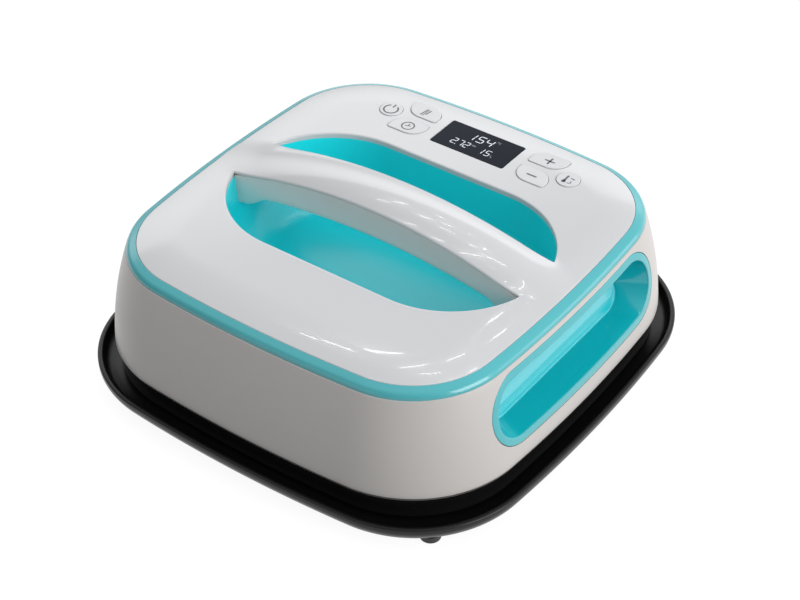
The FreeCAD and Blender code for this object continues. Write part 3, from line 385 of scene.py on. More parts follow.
def plastic(name, colour, rough, mottle, grain, bump, coat=0.0, spread=0.03, large=9.0, specular=0.5):
    """Moulded plastic: faint large-scale tone, fine grain in the gloss, and a slight moulded texture."""
    material = bpy.data.materials.new(name)
    material.use_nodes = True
    nodes = material.node_tree.nodes
    links = material.node_tree.links
    shader = nodes["Principled BSDF"]
    where = nodes.new("ShaderNodeTexCoord")
    tone = nodes.new("ShaderNodeTexNoise")
    tone.inputs["Scale"].default_value = large
    tone.inputs["Detail"].default_value = 2.0
    links.new(where.outputs["Object"], tone.inputs["Vector"])
    mix = nodes.new("ShaderNodeMix")
    mix.data_type = "RGBA"
    mix.inputs["A"].default_value = shade(colour, 1 - mottle)
    mix.inputs["B"].default_value = shade(colour, 1 + mottle)
    links.new(tone.outputs["Fac"], mix.inputs["Factor"])
    links.new(mix.outputs["Result"], shader.inputs["Base Color"])
    fine = nodes.new("ShaderNodeTexNoise")
    fine.inputs["Scale"].default_value = grain
    fine.inputs["Detail"].default_value = 3.0
    links.new(where.outputs["Object"], fine.inputs["Vector"])
    ramp = nodes.new("ShaderNodeMapRange")
    ramp.inputs["To Min"].default_value = max(0.02, rough - spread)
    ramp.inputs["To Max"].default_value = rough + spread
    links.new(fine.outputs["Fac"], ramp.inputs["Value"])
    links.new(ramp.outputs["Result"], shader.inputs["Roughness"])
    if bump:
        relief = nodes.new("ShaderNodeBump")
        relief.inputs["Strength"].default_value = bump
        relief.inputs["Distance"].default_value = BUMP_DEPTH
        links.new(fine.outputs["Fac"], relief.inputs["Height"])
        links.new(relief.outputs["Normal"], shader.inputs["Normal"])
    shader.inputs["Specular IOR Level"].default_value = specular
    if coat:
        shader.inputs["Coat Weight"].default_value = coat
        shader.inputs["Coat Roughness"].default_value = COAT_ROUGHNESS
    return material


def metal(name, colour, rough):
    material = plastic(name, colour, rough, mottle=0.06, grain=900.0, bump=0.04, spread=0.08)
    material.node_tree.nodes["Principled BSDF"].inputs["Metallic"].default_value = 1.0
    return material


def glowing(name, colour, strength):
    """Lit segments: the plastic's uneven tone, which also drives what they give off."""
    material = plastic(name, colour, 0.3, 0.06, 1500, 0.0, large=400)
    shader = material.node_tree.nodes["Principled BSDF"]
    tone = shader.inputs["Base Color"].links[0].from_socket
    material.node_tree.links.new(tone, shader.inputs["Emission Color"])
    shader.inputs["Emission Strength"].default_value = strength
    return material


WHITE = plastic("cover_white", srgb(194, 195, 197), 0.16, 0.012, 900, 0.006, coat=0.4, spread=0.02)
WALL = plastic("housing_grey", srgb(191, 187, 184), 0.34, 0.02, 1400, 0.03)
# Teal of the recess dish and the CAD teal parts: lighter than the plastic's own colour, painted light for
# the bounce inside the recess
TEAL_PAINTED_BRIGHT = plastic("teal", srgb(28, 216, 225), 0.22, 0.03, 900, 0.01, coat=0.15)
# Paler teal of the trim band and grip bezels: partly its own colour, partly a painted sheen in its raised
# red
TRIM_TEAL_WITH_SHEEN = plastic("trim_teal_painted_sheen", srgb(70, 170, 177), 0.22, 0.03, 900, 0.01, coat=0.3)
# Darker copy of the teal for the grip pockets: painted shade of the pockets' depth
TEAL_PAINTED_SHADE = plastic("teal_painted_shade", srgb(14, 178, 188), 0.16, 0.03, 900, 0.01, coat=0.4)
# Handle grey lighter and warmer than its own colour: painted light standing in for the white light its
# underside lacks against the teal bounce
GREY_PAINTED_LIGHT = plastic("handle_grey", srgb(236, 214, 210), 0.4, 0.02, 1500, 0.04)
BLACK = plastic("gloss_black", srgb(14, 14, 15), 0.22, 0.1, 800, 0.012)
TRAY_BLACK = plastic("tray_black", srgb(18, 17, 18), 0.3, 0.12, 900, 0.03, specular=0.3)
BAND = plastic("seal_grey", srgb(88, 85, 84), 0.4, 0.05, 900, 0.03)
RUBBER = plastic("rubber_black", srgb(44, 43, 43), 0.6, 0.1, 1200, 0.1)
BUTTON = plastic("button_white", srgb(203, 204, 206), 0.2, 0.01, 900, 0.008)
MARK = plastic("mark_grey", srgb(88, 90, 93), 0.5, 0.05, 900, 0.02)
GLASS = plastic("window_dark", srgb(24, 29, 39), 0.12, 0.12, 500, 0.0, large=30, specular=0.04)
SILICONE = plastic("silicone", srgb(92, 92, 94), 0.62, 0.05, 700, 0.1)
STEEL = metal("zinc_steel", srgb(190, 192, 194), 0.3)
ALUMINIUM = metal("aluminium", srgb(205, 206, 208), 0.32)
COATING = plastic("plate_coating", srgb(58, 58, 61), 0.38, 0.15, 2200, 0.25, spread=0.08)
FIBRE = plastic("fibre_blanket", srgb(232, 230, 224), 0.9, 0.05, 400, 0.8)
BOARD = plastic("board_green", srgb(22, 92, 54), 0.4, 0.12, 700, 0.1)
PART = plastic("part_black", srgb(32, 32, 34), 0.45, 0.1, 900, 0.05)
TERMINAL = plastic("terminal_green", srgb(38, 120, 92), 0.4, 0.06, 700, 0.05)
LIT = glowing("digits", srgb(200, 206, 212), 0.45)
DIM = glowing("unit_marks", srgb(120, 126, 134), 0.3)

SLOT_MATERIALS = {
    "housing": WALL, "cover": WHITE, "teal": TEAL_PAINTED_BRIGHT, "handle_grey": GREY_PAINTED_LIGHT, "button": BUTTON, "window": GLASS,
    "display": PART, "black": BLACK, "rubber": RUBBER, "silicone": SILICONE, "steel": STEEL,
    "aluminium": ALUMINIUM, "plate_coating": COATING, "fibre": FIBRE, "board": BOARD, "black_part": PART,
    "terminal": TERMINAL,
}


def dress_cad_nodes():
    """Give every carried-over CAD node the material of its slot."""
    for part in frame["record"]["subparts"]:
        mesh = frame["nodes"][part["node"]].data
        mesh.materials.clear()
        mesh.materials.append(SLOT_MATERIALS[part["material_slot"]])


# Top cover: one height field over the plate and the handle, with its openings

def arch_top(x):
    return HANDLE_EDGE_Z - HANDLE_ARCH_R + math.sqrt(HANDLE_ARCH_R ** 2 - x * x)


def handle_half(x):
    return HANDLE_HALF_WIDTH + HANDLE_END_WIDEN * (x / OPENING_HALF_X) ** 2


def skin_z(x, y):
    """Height of the handle's crowned and arched top."""
    crown_r = (HANDLE_HALF_WIDTH ** 2 + HANDLE_CROWN ** 2) / (2 * HANDLE_CROWN)
    drop = crown_r - math.sqrt(max(0.0, crown_r ** 2 - (y - HANDLE_SHIFT) ** 2))
    return arch_top(x) + HANDLE_CROWN - drop


def handle_y(x, side):
    """Where the handle's front (-1) or rear (1) edge lies."""
    return HANDLE_SHIFT + side * handle_half(x)


def ring_distance(x, y):
    """Distance from a point inside the body outline to it, by its arcs."""
    x = abs(x)
    y = abs(y)
    best = 1e9
    for centre, radius, first, last in BODY_ARCS[:3]:
        dx = x - centre.x
        dy = y - centre.y
        angle = math.atan2(dy, dx)
        if first - 1e-6 <= angle <= last + 1e-6:
            best = min(best, radius - math.hypot(dx, dy))
    return best


def plate_z(x, y):
    """Height of the plate, with its shoulder down to the ring."""
    inside_by = ring_distance(x, y) - RING_SLOPE_IN - COVER_GAP
    if inside_by >= SHOULDER_IN:
        return COVER_TOP_Z
    rise = COVER_TOP_Z - RING_TOP_Z
    radius = (SHOULDER_IN ** 2 + rise ** 2) / (2 * rise)
    t = SHOULDER_IN - max(0.0, inside_by)
    return COVER_TOP_Z - radius + math.sqrt(radius ** 2 - t * t)


def smooth_max(a, b, k):
    h = max(0.0, min(1.0, 0.5 + 0.5 * (a - b) / k))
    return b + (a - b) * h + k * h * (1 - h)


def cover_z(x, y):
    base = plate_z(x, y)
    if abs(y) > HANDLE_REACH_Y or abs(x) > HANDLE_REACH_X:
        return base
    return smooth_max(skin_z(x, y), base, HANDLE_END_BLEND)


def tip_of_recess(side):
    """Where the handle's edge meets the end of the opening."""
    centre = OPENING_HALF_X - OPENING_CORNER
    low = centre
    high = OPENING_HALF_X
    for _ in range(50):
        x = (low + high) / 2
        reach = OPENING_HALF_Y - OPENING_CORNER + math.sqrt(OPENING_CORNER ** 2 - (x - centre) ** 2)
        if reach > abs(handle_y(x, side)):
            low = x
        else:
            high = x
    return low


def recess_hole(side):
    """Outline of the front (-1) or rear (1) recess, between the opening and the handle."""
    tip = tip_of_recess(side)
    rim = [tuple(p) for p, _ in OPENING if side * (p.y - handle_y(p.x, side)) > 0.5]
    rim.sort(reverse=True)
    count = 130
    along = [-tip + 2 * tip * i / count for i in range(count + 1)]
    return rim + [(x, handle_y(x, side)) for x in along]


def leaf_radii(lie):
    return [LEAF_BIG_R, LEAF_SMALL_R] * 2 if lie > 0 else [LEAF_SMALL_R, LEAF_BIG_R] * 2


def button_outline(name, grow):
    x, y, lie = BUTTONS[name]
    if not lie:
        turns = [direction(2 * math.pi * i / 72) for i in range(72)]
        return [(Vector((x, y)) + turn * (ROUND_BUTTON_R + grow), turn) for turn in turns]
    radii = [r + grow for r in leaf_radii(lie)]
    return corner_outline(LEAF_X / 2 + grow, LEAF_Y / 2 + grow, radii, 0.6, (x, y))


def window_outline(grow):
    radii = [WINDOW_CORNER + grow] * 4
    return corner_outline(WINDOW_X / 2 + grow, WINDOW_Y / 2 + grow, radii, 1.0, (0, WINDOW_CENTRE_Y))


def offset_loop(loop, distance):
    """Loop moved to its left by distance, by its mean edge normals."""
    rows = []
    count = len(loop)
    for i in range(count):
        before = Vector(loop[i - 1])
        after = Vector(loop[(i + 1) % count])
        along = after - before
        along.normalize()
        rows.append((loop[i][0] - along.y * distance, loop[i][1] + along.x * distance))
    return rows


def signed_area(loop):
    return sum(a[0] * b[1] - b[0] * a[1] for a, b in zip(loop, loop[1:] + loop[:1])) / 2


def clockwise(loop):
    return loop if signed_area(loop) < 0 else loop[::-1]


def rim_rows(radius, hold):
    """Rows of (distance from the edge, drop) over a rounded edge, from the plate outwards."""
    rows = [(radius + hold, 0.0), (radius, 0.0)]
    for i in range(1, 6):
        angle = math.pi / 2 * i / 5
        rows.append((radius * (1 - math.sin(angle)), radius * (1 - math.cos(angle))))
    return rows


def cover_loops():
    """The cover's edges: outline with the cover on its left, and the rows of its rounding."""
    edge_u = -RING_SLOPE_IN - COVER_GAP
    loops = [([tuple(point + normal * edge_u) for point, normal in BODY], rim_rows(0.4, 0.4))]
    loops += [(clockwise(recess_hole(side)), rim_rows(RIM_ROUND, 0.5)) for side in (1, -1)]
    for name in BUTTONS:
        seat = [tuple(p) for p, _ in button_outline(name, BUTTON_GAP)]
        loops.append((clockwise(seat), rim_rows(0.3, 0.3)))
    seat = [tuple(p) for p, _ in window_outline(WINDOW_GAP)]
    loops.append((clockwise(seat), rim_rows(0.25, 0.25)))
    return loops


def cover_field(borders):
    """Points, triangles and border loops of the cover's top, inside the given borders."""
    points = []
    edges = []
    loops = []
    near = {}
    for loop in borders:
        start = len(points)
        points += loop
        count = len(loop)
        edges += [(start + i, start + (i + 1) % count) for i in range(count)]
        loops.append(list(range(start, start + count)))
    for p in points:
        near.setdefault((int(p[0] // 2), int(p[1] // 2)), []).append(p)
    reach = int(125 / FIELD_STEP)
    for i in range(-reach, reach + 1):
        for j in range(-reach, reach + 1):
            x = i * FIELD_STEP + (j % 2) * FIELD_STEP / 2
            y = j * FIELD_STEP * FIELD_ROW
            if abs(y) > RING_HALF_Y + 1 or ring_distance(x, y) < RING_SLOPE_IN + 2.0:
                continue
            cell = (int(x // 2), int(y // 2))
            around = [near.get((cell[0] + a, cell[1] + b), ()) for a in (-1, 0, 1) for b in (-1, 0, 1)]
            if all((q[0] - x) ** 2 + (q[1] - y) ** 2 > 0.9 for some in around for q in some):
                points.append((x, y))

    def on_cover(middle):
        return inside(middle, borders[0]) and not any(inside(middle, hole) for hole in borders[1:])

    flat_points, faces, lookup = triangulate(points, edges, on_cover)
    return flat_points, faces, [[lookup[k] for k in loop] for loop in loops]


def edge_depth(number, x, y, z):
    """How far below the surface the cover's edge ends."""
    if number > 2:
        return 2.2
    if number and min(abs(y - handle_y(x, side)) for side in (1, -1)) < 0.02:
        return min(HANDLE_SKIN_EDGE, z - COVER_UNDER_Z)
    return z - COVER_UNDER_Z


def make_cover():
    edged = cover_loops()
    points, faces, loops = cover_field([offset_loop(loop, rows[0][0]) for loop, rows in edged])
    vertices = [(p.x, p.y, cover_z(p.x, p.y)) for p in points]
    for number, ((loop, rows), ring) in enumerate(zip(edged, loops)):
        for distance, drop in rows[1:] + [(0.0, None)]:
            lower = []
            for (x, y), (edge_x, edge_y) in zip(offset_loop(loop, distance), loop):
                z = cover_z(x, y)
                lower.append(len(vertices))
                down = edge_depth(number, edge_x, edge_y, z) if drop is None else drop
                vertices.append((x, y, z - down))
            faces += edge_band(ring, lower)
            ring = lower
    new_piece("cover_moulding", vertices, faces, WHITE, replaced=["top_cover"])


# Housing wall, mapped from a strip (t along the outline, z)

def outline_lengths():
    """Where each arc of the body outline starts along it, and the whole length."""
    starts = [0.0]
    for _, radius, first, last in BODY_ARCS:
        starts.append(starts[-1] + radius * (last - first))
    return starts


ARC_STARTS = outline_lengths()
# The strip starts at the middle of the rear side, so that neither slot crosses its ends
STRIP_SHIFT = ARC_STARTS[-1] / 4
WALL_ROWS = 16


def on_wall(t, z):
    """Point of the housing wall at t along the outline and height z."""
    for (centre, radius, first, _), start, end in zip(BODY_ARCS, ARC_STARTS, ARC_STARTS[1:]):
        if t <= end + 1e-9:
            at = centre + direction(first + (t - start) / radius) * (radius + wall_u(z))
            return (at.x, at.y, z)
    return on_wall(t - ARC_STARTS[-1], z)


def strip_t(y, z, left):
    """The strip's t for a point of the right-hand or left-hand wall."""
    u = wall_u(z)
    centre, radius, _, last = BODY_ARCS[0]
    corner, corner_r, _, _ = BODY_ARCS[1]
    if abs(y) <= (radius + u) * math.sin(last):
        reach = radius * math.asin(abs(y) / (radius + u))
    else:
        angle = math.asin((abs(y) - corner.y) / (corner_r + u))
        reach = ARC_STARTS[1] + corner_r * (angle - last)
    whole = ARC_STARTS[-1]
    if left:
        return whole / 2 - reach if y > 0 else whole / 2 + reach
    return reach if y > 0 else whole - reach


def pill(half_y, half_z, centre_z):
    """Upright outline with round ends: (y, z) points, the same way round for every size."""
    rows = []
    run = half_y - half_z
    turn = 64
    straight = 40
    for side in (1, -1):
        for i in range(turn):
            angle = -math.pi / 2 + math.pi * i / turn
            y = run + half_z * math.cos(angle)
            rows.append((side * y, centre_z + side * half_z * math.sin(angle)))
        for i in range(straight):
            rows.append((side * (run - 2 * run * i / straight), centre_z + side * half_z))
    return rows


def slot_loop(left):
    """Edge of a side grip's slot, as (t, z) points of the strip."""
    whole = ARC_STARTS[-1]
    rows = []
    for y, z in pill(GRIP_HALF_Y + GRIP_GAP, GRIP_HALF_Z + GRIP_GAP, GRIP_CENTRE_Z):
        t = strip_t(y, z, left)
        if not left and t > whole / 2:
            t -= whole
        rows.append(((t - STRIP_SHIFT) % whole, z))
    return rows


def strip_columns():
    """Where the strip's columns of points stand along it."""
    whole = ARC_STARTS[-1]
    columns = []
    for (_, radius, first, last), start in zip(BODY_ARCS, ARC_STARTS):
        length = radius * (last - first)
        count = max(2, round(length / BODY_STEP))
        columns += [start + length * i / count for i in range(count)]
    columns = sorted((t - STRIP_SHIFT) % whole for t in columns)
    if columns[0] > 1e-6:
        columns.insert(0, 0.0)
    return columns


def wall_edges():
    """Profiles of the wall's soft upper and lower edge."""
    low_u = wall_u(WALL_LOW)
    high_u = wall_u(WALL_HIGH)
    top = [(high_u, WALL_HIGH)] + bend((high_u, WALL_HIGH), (high_u, WALL_TOP_Z), (-0.5, WALL_TOP_Z), 4)
    top += [(-WALL_THICK, WALL_TOP_Z), (-WALL_THICK, WALL_TOP_Z - 2)]
    under = [(wall_u(34) - WALL_THICK, 34), (low_u - WALL_THICK, WALL_LOW)]
    under += [(low_u - WALL_THICK, WALL_BOTTOM_Z)]
    under += bend((low_u - 0.7, WALL_BOTTOM_Z), (low_u, WALL_BOTTOM_Z), (low_u, WALL_LOW), 4)
    return top, under


def make_wall():
    whole = ARC_STARTS[-1]
    columns = strip_columns()
    levels = [WALL_LOW + (WALL_HIGH - WALL_LOW) * i / WALL_ROWS for i in range(WALL_ROWS + 1)]
    points = [(t, WALL_LOW) for t in columns] + [(whole, z) for z in levels[:-1]]
    points += [(whole, WALL_HIGH)] + [(t, WALL_HIGH) for t in reversed(columns[1:])]
    points += [(0.0, z) for z in reversed(levels[1:])]
    edges = [(i, (i + 1) % len(points)) for i in range(len(points))]
    slots = [slot_loop(left) for left in (False, True)]
    numbers = []
    for loop in slots:
        start = len(points)
        points += loop
        edges += [(start + i, start + (i + 1) % len(loop)) for i in range(len(loop))]
        numbers.append(range(start, len(points)))
    border = list(points)
    for t in columns[1::2]:
        for z in levels[1:-1]:
            if all((t - q[0]) ** 2 + (z - q[1]) ** 2 > 2.2 for q in border if abs(t - q[0]) < 2):
                points.append((t, z))

    def on_strip(middle):
        return not any(inside(middle, loop) for loop in slots)

    flat_points, faces, lookup = triangulate(points, edges, on_strip)
    vertices = [on_wall((p.x + STRIP_SHIFT) % whole, p.y) for p in flat_points]
    for given in numbers:
        loop = [lookup[k] for k in given]
        deeper = []
        for k in loop:
            x, y, z = vertices[k]
            deeper.append(len(vertices))
            vertices.append((x - math.copysign(WALL_THICK, x), y, z))
        faces += edge_band(loop, deeper)
    for profile in wall_edges():
        more, quads = sweep(BODY, profile)
        base = len(vertices)
        vertices += more
        faces += [tuple(base + k for k in face) for face in quads]
    weld(new_piece("housing_moulding", vertices, faces, WALL, replaced=["lower_housing"]))


def weld(piece):
    """Join points that lie in one place."""
    mesh = bmesh.new()
    mesh.from_mesh(piece.data)
    bmesh.ops.remove_doubles(mesh, verts=mesh.verts, dist=1e-6)
    mesh.to_mesh(piece.data)
    mesh.free()
    piece.data.shade_smooth()
    piece.data.set_sharp_from_angle(angle=SHARP_ANGLE)


# Rows of a side grip's bezel: distance in from its edge, and depth below the wall's surface
BEZEL_ROWS = (
    (0.2, 1.4), (0.2, 0.3), (0.27, 0.12), (0.4, 0.02), (0.6, 0), (0.9, 0), (2.4, 0), (3.7, 0), (3.95, 0.02),
    (4.2, 0.1), (4.42, 0.28), (4.55, 0.55),
)


def grip_lean(z):
    """How far the back of a side grip leans in at height z, more towards its top."""
    height = min(max(z - (GRIP_CENTRE_Z - GRIP_BACK_SHRINK - GRIP_BACK_HALF_Z), 0.0), GRIP_LEAN_TOP)
    return 0.22 * height + 0.033 * height * height


def grip_back(inset, x):
    """Loop of a side grip's back, that far inside its edge."""
    loop = pill(GRIP_BACK_HALF_Y - inset, GRIP_BACK_HALF_Z - inset, GRIP_CENTRE_Z - GRIP_BACK_SHRINK)
    return [(x - grip_lean(z), y, z) for y, z in loop]


def make_grip(side):
    """Teal liner of a side grip: a flush bezel, the pocket's walls, and its back with soft corners."""
    rings = []
    for inset, sink in BEZEL_ROWS:
        ring = pill(GRIP_HALF_Y - inset, GRIP_HALF_Z - inset, GRIP_CENTRE_Z)
        rings.append([(wall_x(y, z) - sink, y, z) for y, z in ring])
    mouth = pill(GRIP_HALF_Y - GRIP_BEZEL, GRIP_HALF_Z - GRIP_BEZEL, GRIP_CENTRE_Z)
    lip = [Vector((wall_x(y, z) - 0.9, y, z)) for y, z in mouth]
    bezel_rows = len(rings) + 1
    deep = [Vector(point) for point in grip_back(0, GRIP_BACK_X + GRIP_ROUND)]
    steps = 8
    for i in range(steps + 1):
        rings.append([tuple(start + (end - start) * (i / steps)) for start, end in zip(lip, deep)])
    for i in range(1, steps + 1):
        angle = math.pi / 2 * i / steps
        x = GRIP_BACK_X + GRIP_ROUND * (1 - math.sin(angle))
        rings.append(grip_back(GRIP_ROUND * (1 - math.cos(angle)), x))
    for inset in (1.3, 2.0, 2.8, 3.7, 4.7, 5.8, 7.0, 8.4, 10.0, 12.5, GRIP_BACK_HALF_Z - 0.05):
        rings.append(grip_back(inset, GRIP_BACK_X))
    hand = "right" if side > 0 else "left"
    # The bezel's paler teal holds a painted sheen; the liner's darker teal is painted shade of the pocket
    for name, rows, material in (("grip_bezel_", rings[:bezel_rows], TRIM_TEAL_WITH_SHEEN),
                                 ("grip_liner_", rings[bezel_rows - 1:], TEAL_PAINTED_SHADE)):
        vertices = [(side * x, y, z) for ring in rows for x, y, z in ring]
        faces = [quad if side > 0 else quad[::-1] for quad in bands(len(rows), len(mouth))]
        new_piece(name + hand, vertices, faces, material, replaced=["side_grip_" + hand])


def make_ring():
    ledge_z = RING_Z + 1.0
    inner = -RING_SLOPE_IN
    profile = soft_profile([(inner - 4, ledge_z), (inner, ledge_z), (inner, RING_TOP_Z, 0.3),
                            (-1.4, RING_TOP_Z - 1.7, 1.6), (0, RING_Z, 0.6), (0, WALL_TOP_Z, 0),
                            (-2.4, WALL_TOP_Z)])
    profile.reverse()
    make_solid("trim_band", BODY, profile, TRIM_TEAL_WITH_SHEEN, replaced=["trim_ring"])


def make_bowl():
    """Dish of the hand recess: drafted wall, large floor radius and flat floor."""
    centre_z = BOWL_FLOOR_Z + BOWL_ROUND
    centre_u = -math.tan(BOWL_DRAFT) * (COVER_UNDER_Z - centre_z) - BOWL_ROUND / math.cos(BOWL_DRAFT)
    profile = [(4.0, COVER_UNDER_Z), (0.25, COVER_UNDER_Z)]
    profile += [(0.05, COVER_UNDER_Z - 0.1), (-0.03, COVER_UNDER_Z - 0.4)]
    start_u = centre_u + BOWL_ROUND * math.cos(BOWL_DRAFT)
    start_z = centre_z - BOWL_ROUND * math.sin(BOWL_DRAFT)
    for i in range(1, 6):
        t = i / 6
        profile.append((start_u * t, COVER_UNDER_Z + (start_z - COVER_UNDER_Z) * t))
    for i in range(17):
        angle = -BOWL_DRAFT - (math.pi / 2 - BOWL_DRAFT) * i / 16
        profile.append((centre_u + BOWL_ROUND * math.cos(angle), centre_z + BOWL_ROUND * math.sin(angle)))
    profile += [(centre_u - 1.5, BOWL_FLOOR_Z), (-34.0, BOWL_FLOOR_Z)]
    # The dish takes the lightened teal, with its painted light
    make_solid("recess_dish", OPENING, profile, TEAL_PAINTED_BRIGHT, replaced=["recess_bowl"], cap_last=True)


def grip_low(x):
    """Underside of the handle, deepest in the middle, which drops again where it runs into the bowl."""
    t = max(0.0, min(1.0, (abs(x) - FLARE_FROM_X) / FLARE_RUN))
    arch = HANDLE_EDGE_Z - HANDLE_ARCH_R + math.sqrt((HANDLE_ARCH_R - HANDLE_DEPTH) ** 2 - x * x)
    return arch - HANDLE_BELLY + 0.0005 * x * x - HANDLE_END_FLARE * t * t * (3 - 2 * t)


def make_handle_grip():
    """Grey underside of the bridge handle, soft along its lower edges."""
    stations = 120
    end = 99.0
    corner = 3.2
    vertices = []
    for i in range(stations + 1):
        x = -end + 2 * end * i / stations
        half = handle_half(x) - 0.1
        top = arch_top(x) - HANDLE_SKIN_EDGE + 0.1
        low = grip_low(x)
        section = [(-half + 1.5, top), (-half + 0.45, top)]
        section += [(-half + 0.45, top - 0.3), (-half + 0.12, top - 0.42)]
        section += [(-half, top - 0.7), (-half, top - 1.2), (-half, low + corner + 1.0)]
        section += [(-half + corner - corner * math.cos(a), low + corner - corner * math.sin(a))
                    for a in [math.pi / 2 * k / 8 for k in range(9)]]
        section += [(-half + corner + 1.2, low), (0, low)]
        section += [(-y, z) for y, z in reversed(section[:-1])]
        vertices += [(x, y + HANDLE_SHIFT, z) for y, z in section]
    count = len(section)
    starts = [i * count + j for i in range(stations) for j in range(count - 1)]
    faces = [(a, a + count, a + count + 1, a + 1) for a in starts]
    new_piece("handle_shell", vertices, faces, GREY_PAINTED_LIGHT, replaced=["handle_grip"])


def make_stand():
    far = -60.0
    heel = soft_profile([(far, TRAY_BOTTOM_Z), (-9.5, TRAY_BOTTOM_Z, 4.0), (-2.6, 6.6, 3.0), (0, 11.5, 2.5),
                         (0, LIP_TOP_Z, 1.25), (-LIP_THICK, LIP_TOP_Z, 1.25), (-LIP_THICK - 0.5, 12.2, 1.5),
                         (-LIP_THICK - 2.3, 9.0, 2.2), (-LIP_THICK - 6.5, TRAY_FLOOR_Z, 2.0),
                         (far, TRAY_FLOOR_Z)], 7)
    make_solid("stand_tray", TRAY, heel, TRAY_BLACK, "base", ["base_tray"], True, True)


def make_feet():
    profile = [(2.3, 0.35), (2.3, 0.0), (4.6, 0.0), (5.2, 0.15), (5.65, 0.6)]
    profile += [(FOOT_R, 1.2), (FOOT_R, TRAY_BOTTOM_Z)]
    turns = [direction(2 * math.pi * i / 40) for i in range(40)]
    count = len(turns)
    vertices = []
    faces = []
    for sx in (1, -1):
        for sy in (1, -1):
            base = len(vertices)
            for radius, z in profile:
                for turn in turns:
                    at = turn * radius
                    vertices.append((sx * FOOT_X + at.x, sy * FOOT_Y + at.y, z))
            faces += bands(len(profile), count, base)
            faces.append(tuple(base + i for i in reversed(range(count))))
    new_piece("stand_feet", vertices, faces, RUBBER, "base", ["base_feet"])


def make_skirt():
    top_u = wall_u(WALL_BOTTOM_Z)
    band = soft_profile([(2.0, WALL_BOTTOM_Z), (top_u - 0.5, WALL_BOTTOM_Z),
                         (top_u - 0.7, SKIRT_FLANGE_Z, 0.3), (SKIRT_OUT - 2, SKIRT_FLANGE_Z)])
    band.reverse()
    make_solid("seal_band", BODY, band, BAND)
    skirt = soft_profile([(SKIRT_OUT - SKIRT_WALL, 31.0), (SKIRT_OUT - SKIRT_WALL, SKIRT_BOTTOM_Z, 0.6),
                          (SKIRT_OUT, SKIRT_BOTTOM_Z, 0.8), (SKIRT_OUT, SKIRT_FLANGE_Z + 0.5)])
    make_solid("skirt_moulding", BODY, skirt, BLACK, replaced=["chassis"])


def make_buttons():
    top = COVER_TOP_Z + BUTTON_PROUD
    profile = soft_profile([(0, COVER_TOP_Z - 2.4), (0, top, 0.5), (-1.4, top)], 6)
    for name in BUTTONS:
        cap = name.replace("button_", "cap_")
        make_solid(cap, button_outline(name, 0.0), profile, BUTTON, name, [name], cap_last=True)


def make_window():
    profile = soft_profile([(0, COVER_TOP_Z - WINDOW_THICK), (0, COVER_TOP_Z, 0.25), (-0.8, COVER_TOP_Z)], 4)
    outline = window_outline(0.0)
    make_solid("window_pane", outline, profile, GLASS, "press", ["display_window"], cap_last=True)


# Printed marks and display segments, as flat strips

def strokes(name, lines, z, material, body):
    """Flat strips of the given widths along lines of points."""
    vertices = []
    faces = []
    for points, width in lines:
        base = len(vertices)
        last = len(points) - 1
        for i, point in enumerate(points):
            along = (Vector(points[min(i + 1, last)]) - Vector(points[max(i - 1, 0)])).normalized()
            side = Vector((-along.y, along.x)) * width / 2
            at = Vector(point)
            vertices += [(at.x + side.x, at.y + side.y, z), (at.x - side.x, at.y - side.y, z)]
        faces += [(low + 1, low + 3, low + 2, low) for low in range(base, base + 2 * last, 2)]
    new_piece(name, vertices, faces, material, body, smooth=False)


def circle(x, y, radius, first=0, last=360):
    """Points of an arc, between two angles in degrees."""
    turns = [math.radians(first + (last - first) * i / 40) for i in range(41)]
    return [(x + radius * math.cos(turn), y + radius * math.sin(turn)) for turn in turns]


def thermometer(x, low, high, width):
    """Bulb and stem."""
    bulb = circle(x, low, width * 0.55)
    return [(bulb, width * 1.0), ([(x, low), (x, high)], width)]


def make_marks():
    top = COVER_TOP_Z + BUTTON_PROUD + PRINT_Z
    marks = {
        "button_power": [(circle(-61.5, 86.6, 4.3, 122, 418), 1.0), ([(-61.5, 88.6), (-61.5, 92.0)], 1.0)],
        "button_timer": [(circle(-43.0, 78.1, 3.7), 0.85), ([(-43.0, 78.1), (-43.0, 80.3)], 0.6),
                         ([(-44.6, 77.4), (-43.0, 78.1), (-41.4, 78.6)], 0.6)],
        "button_temperature": [([(-44.3, 91.8), (-43.0, 99.0)], 0.75), ([(-42.8, 91.9), (-42.0, 98.8)], 0.6),
                               ([(-41.4, 93.6), (-40.5, 98.6)], 0.75)],
        "button_minus": [([(39.4, 78.1), (46.0, 78.1)], 1.2)],
        "button_plus": [([(40.5, 95.7), (47.0, 95.7)], 1.15), ([(43.75, 92.5), (43.75, 98.9)], 1.15)],
        "button_unit": thermometer(60.1, 84.0, 90.0, 1.3)
        + [([(62.2, 88.6), (65.0, 88.2)], 0.8), ([(62.5, 83.4), (64.4, 84.0), (64.0, 86.0)], 0.7)],
    }
    for name, lines in marks.items():
        strokes(name.replace("button_", "mark_"), lines, top, MARK, name)


SEGMENTS = {"1": "bc", "2": "abged", "4": "fgbc", "5": "afgcd", "7": "abc"}


def digit(figure, x, y, width, height, line):
    """Seven-segment figure whose lower left corner is at x, y."""
    slant = 0.12 * height
    gap = line * 0.35
    middle = height / 2

    def at(px, py):
        return (x + px + slant * py / height, y + py)

    ends = {
        "a": (at(gap, height), at(width - gap, height)),
        "b": (at(width, height - gap), at(width, middle + gap)),
        "c": (at(width, middle - gap), at(width, gap)),
        "d": (at(gap, 0), at(width - gap, 0)),
        "e": (at(0, middle - gap), at(0, gap)),
        "f": (at(0, height - gap), at(0, middle + gap)),
        "g": (at(gap, middle), at(width - gap, middle)),
    }
    return [(list(ends[key]), line) for key in SEGMENTS[figure]]


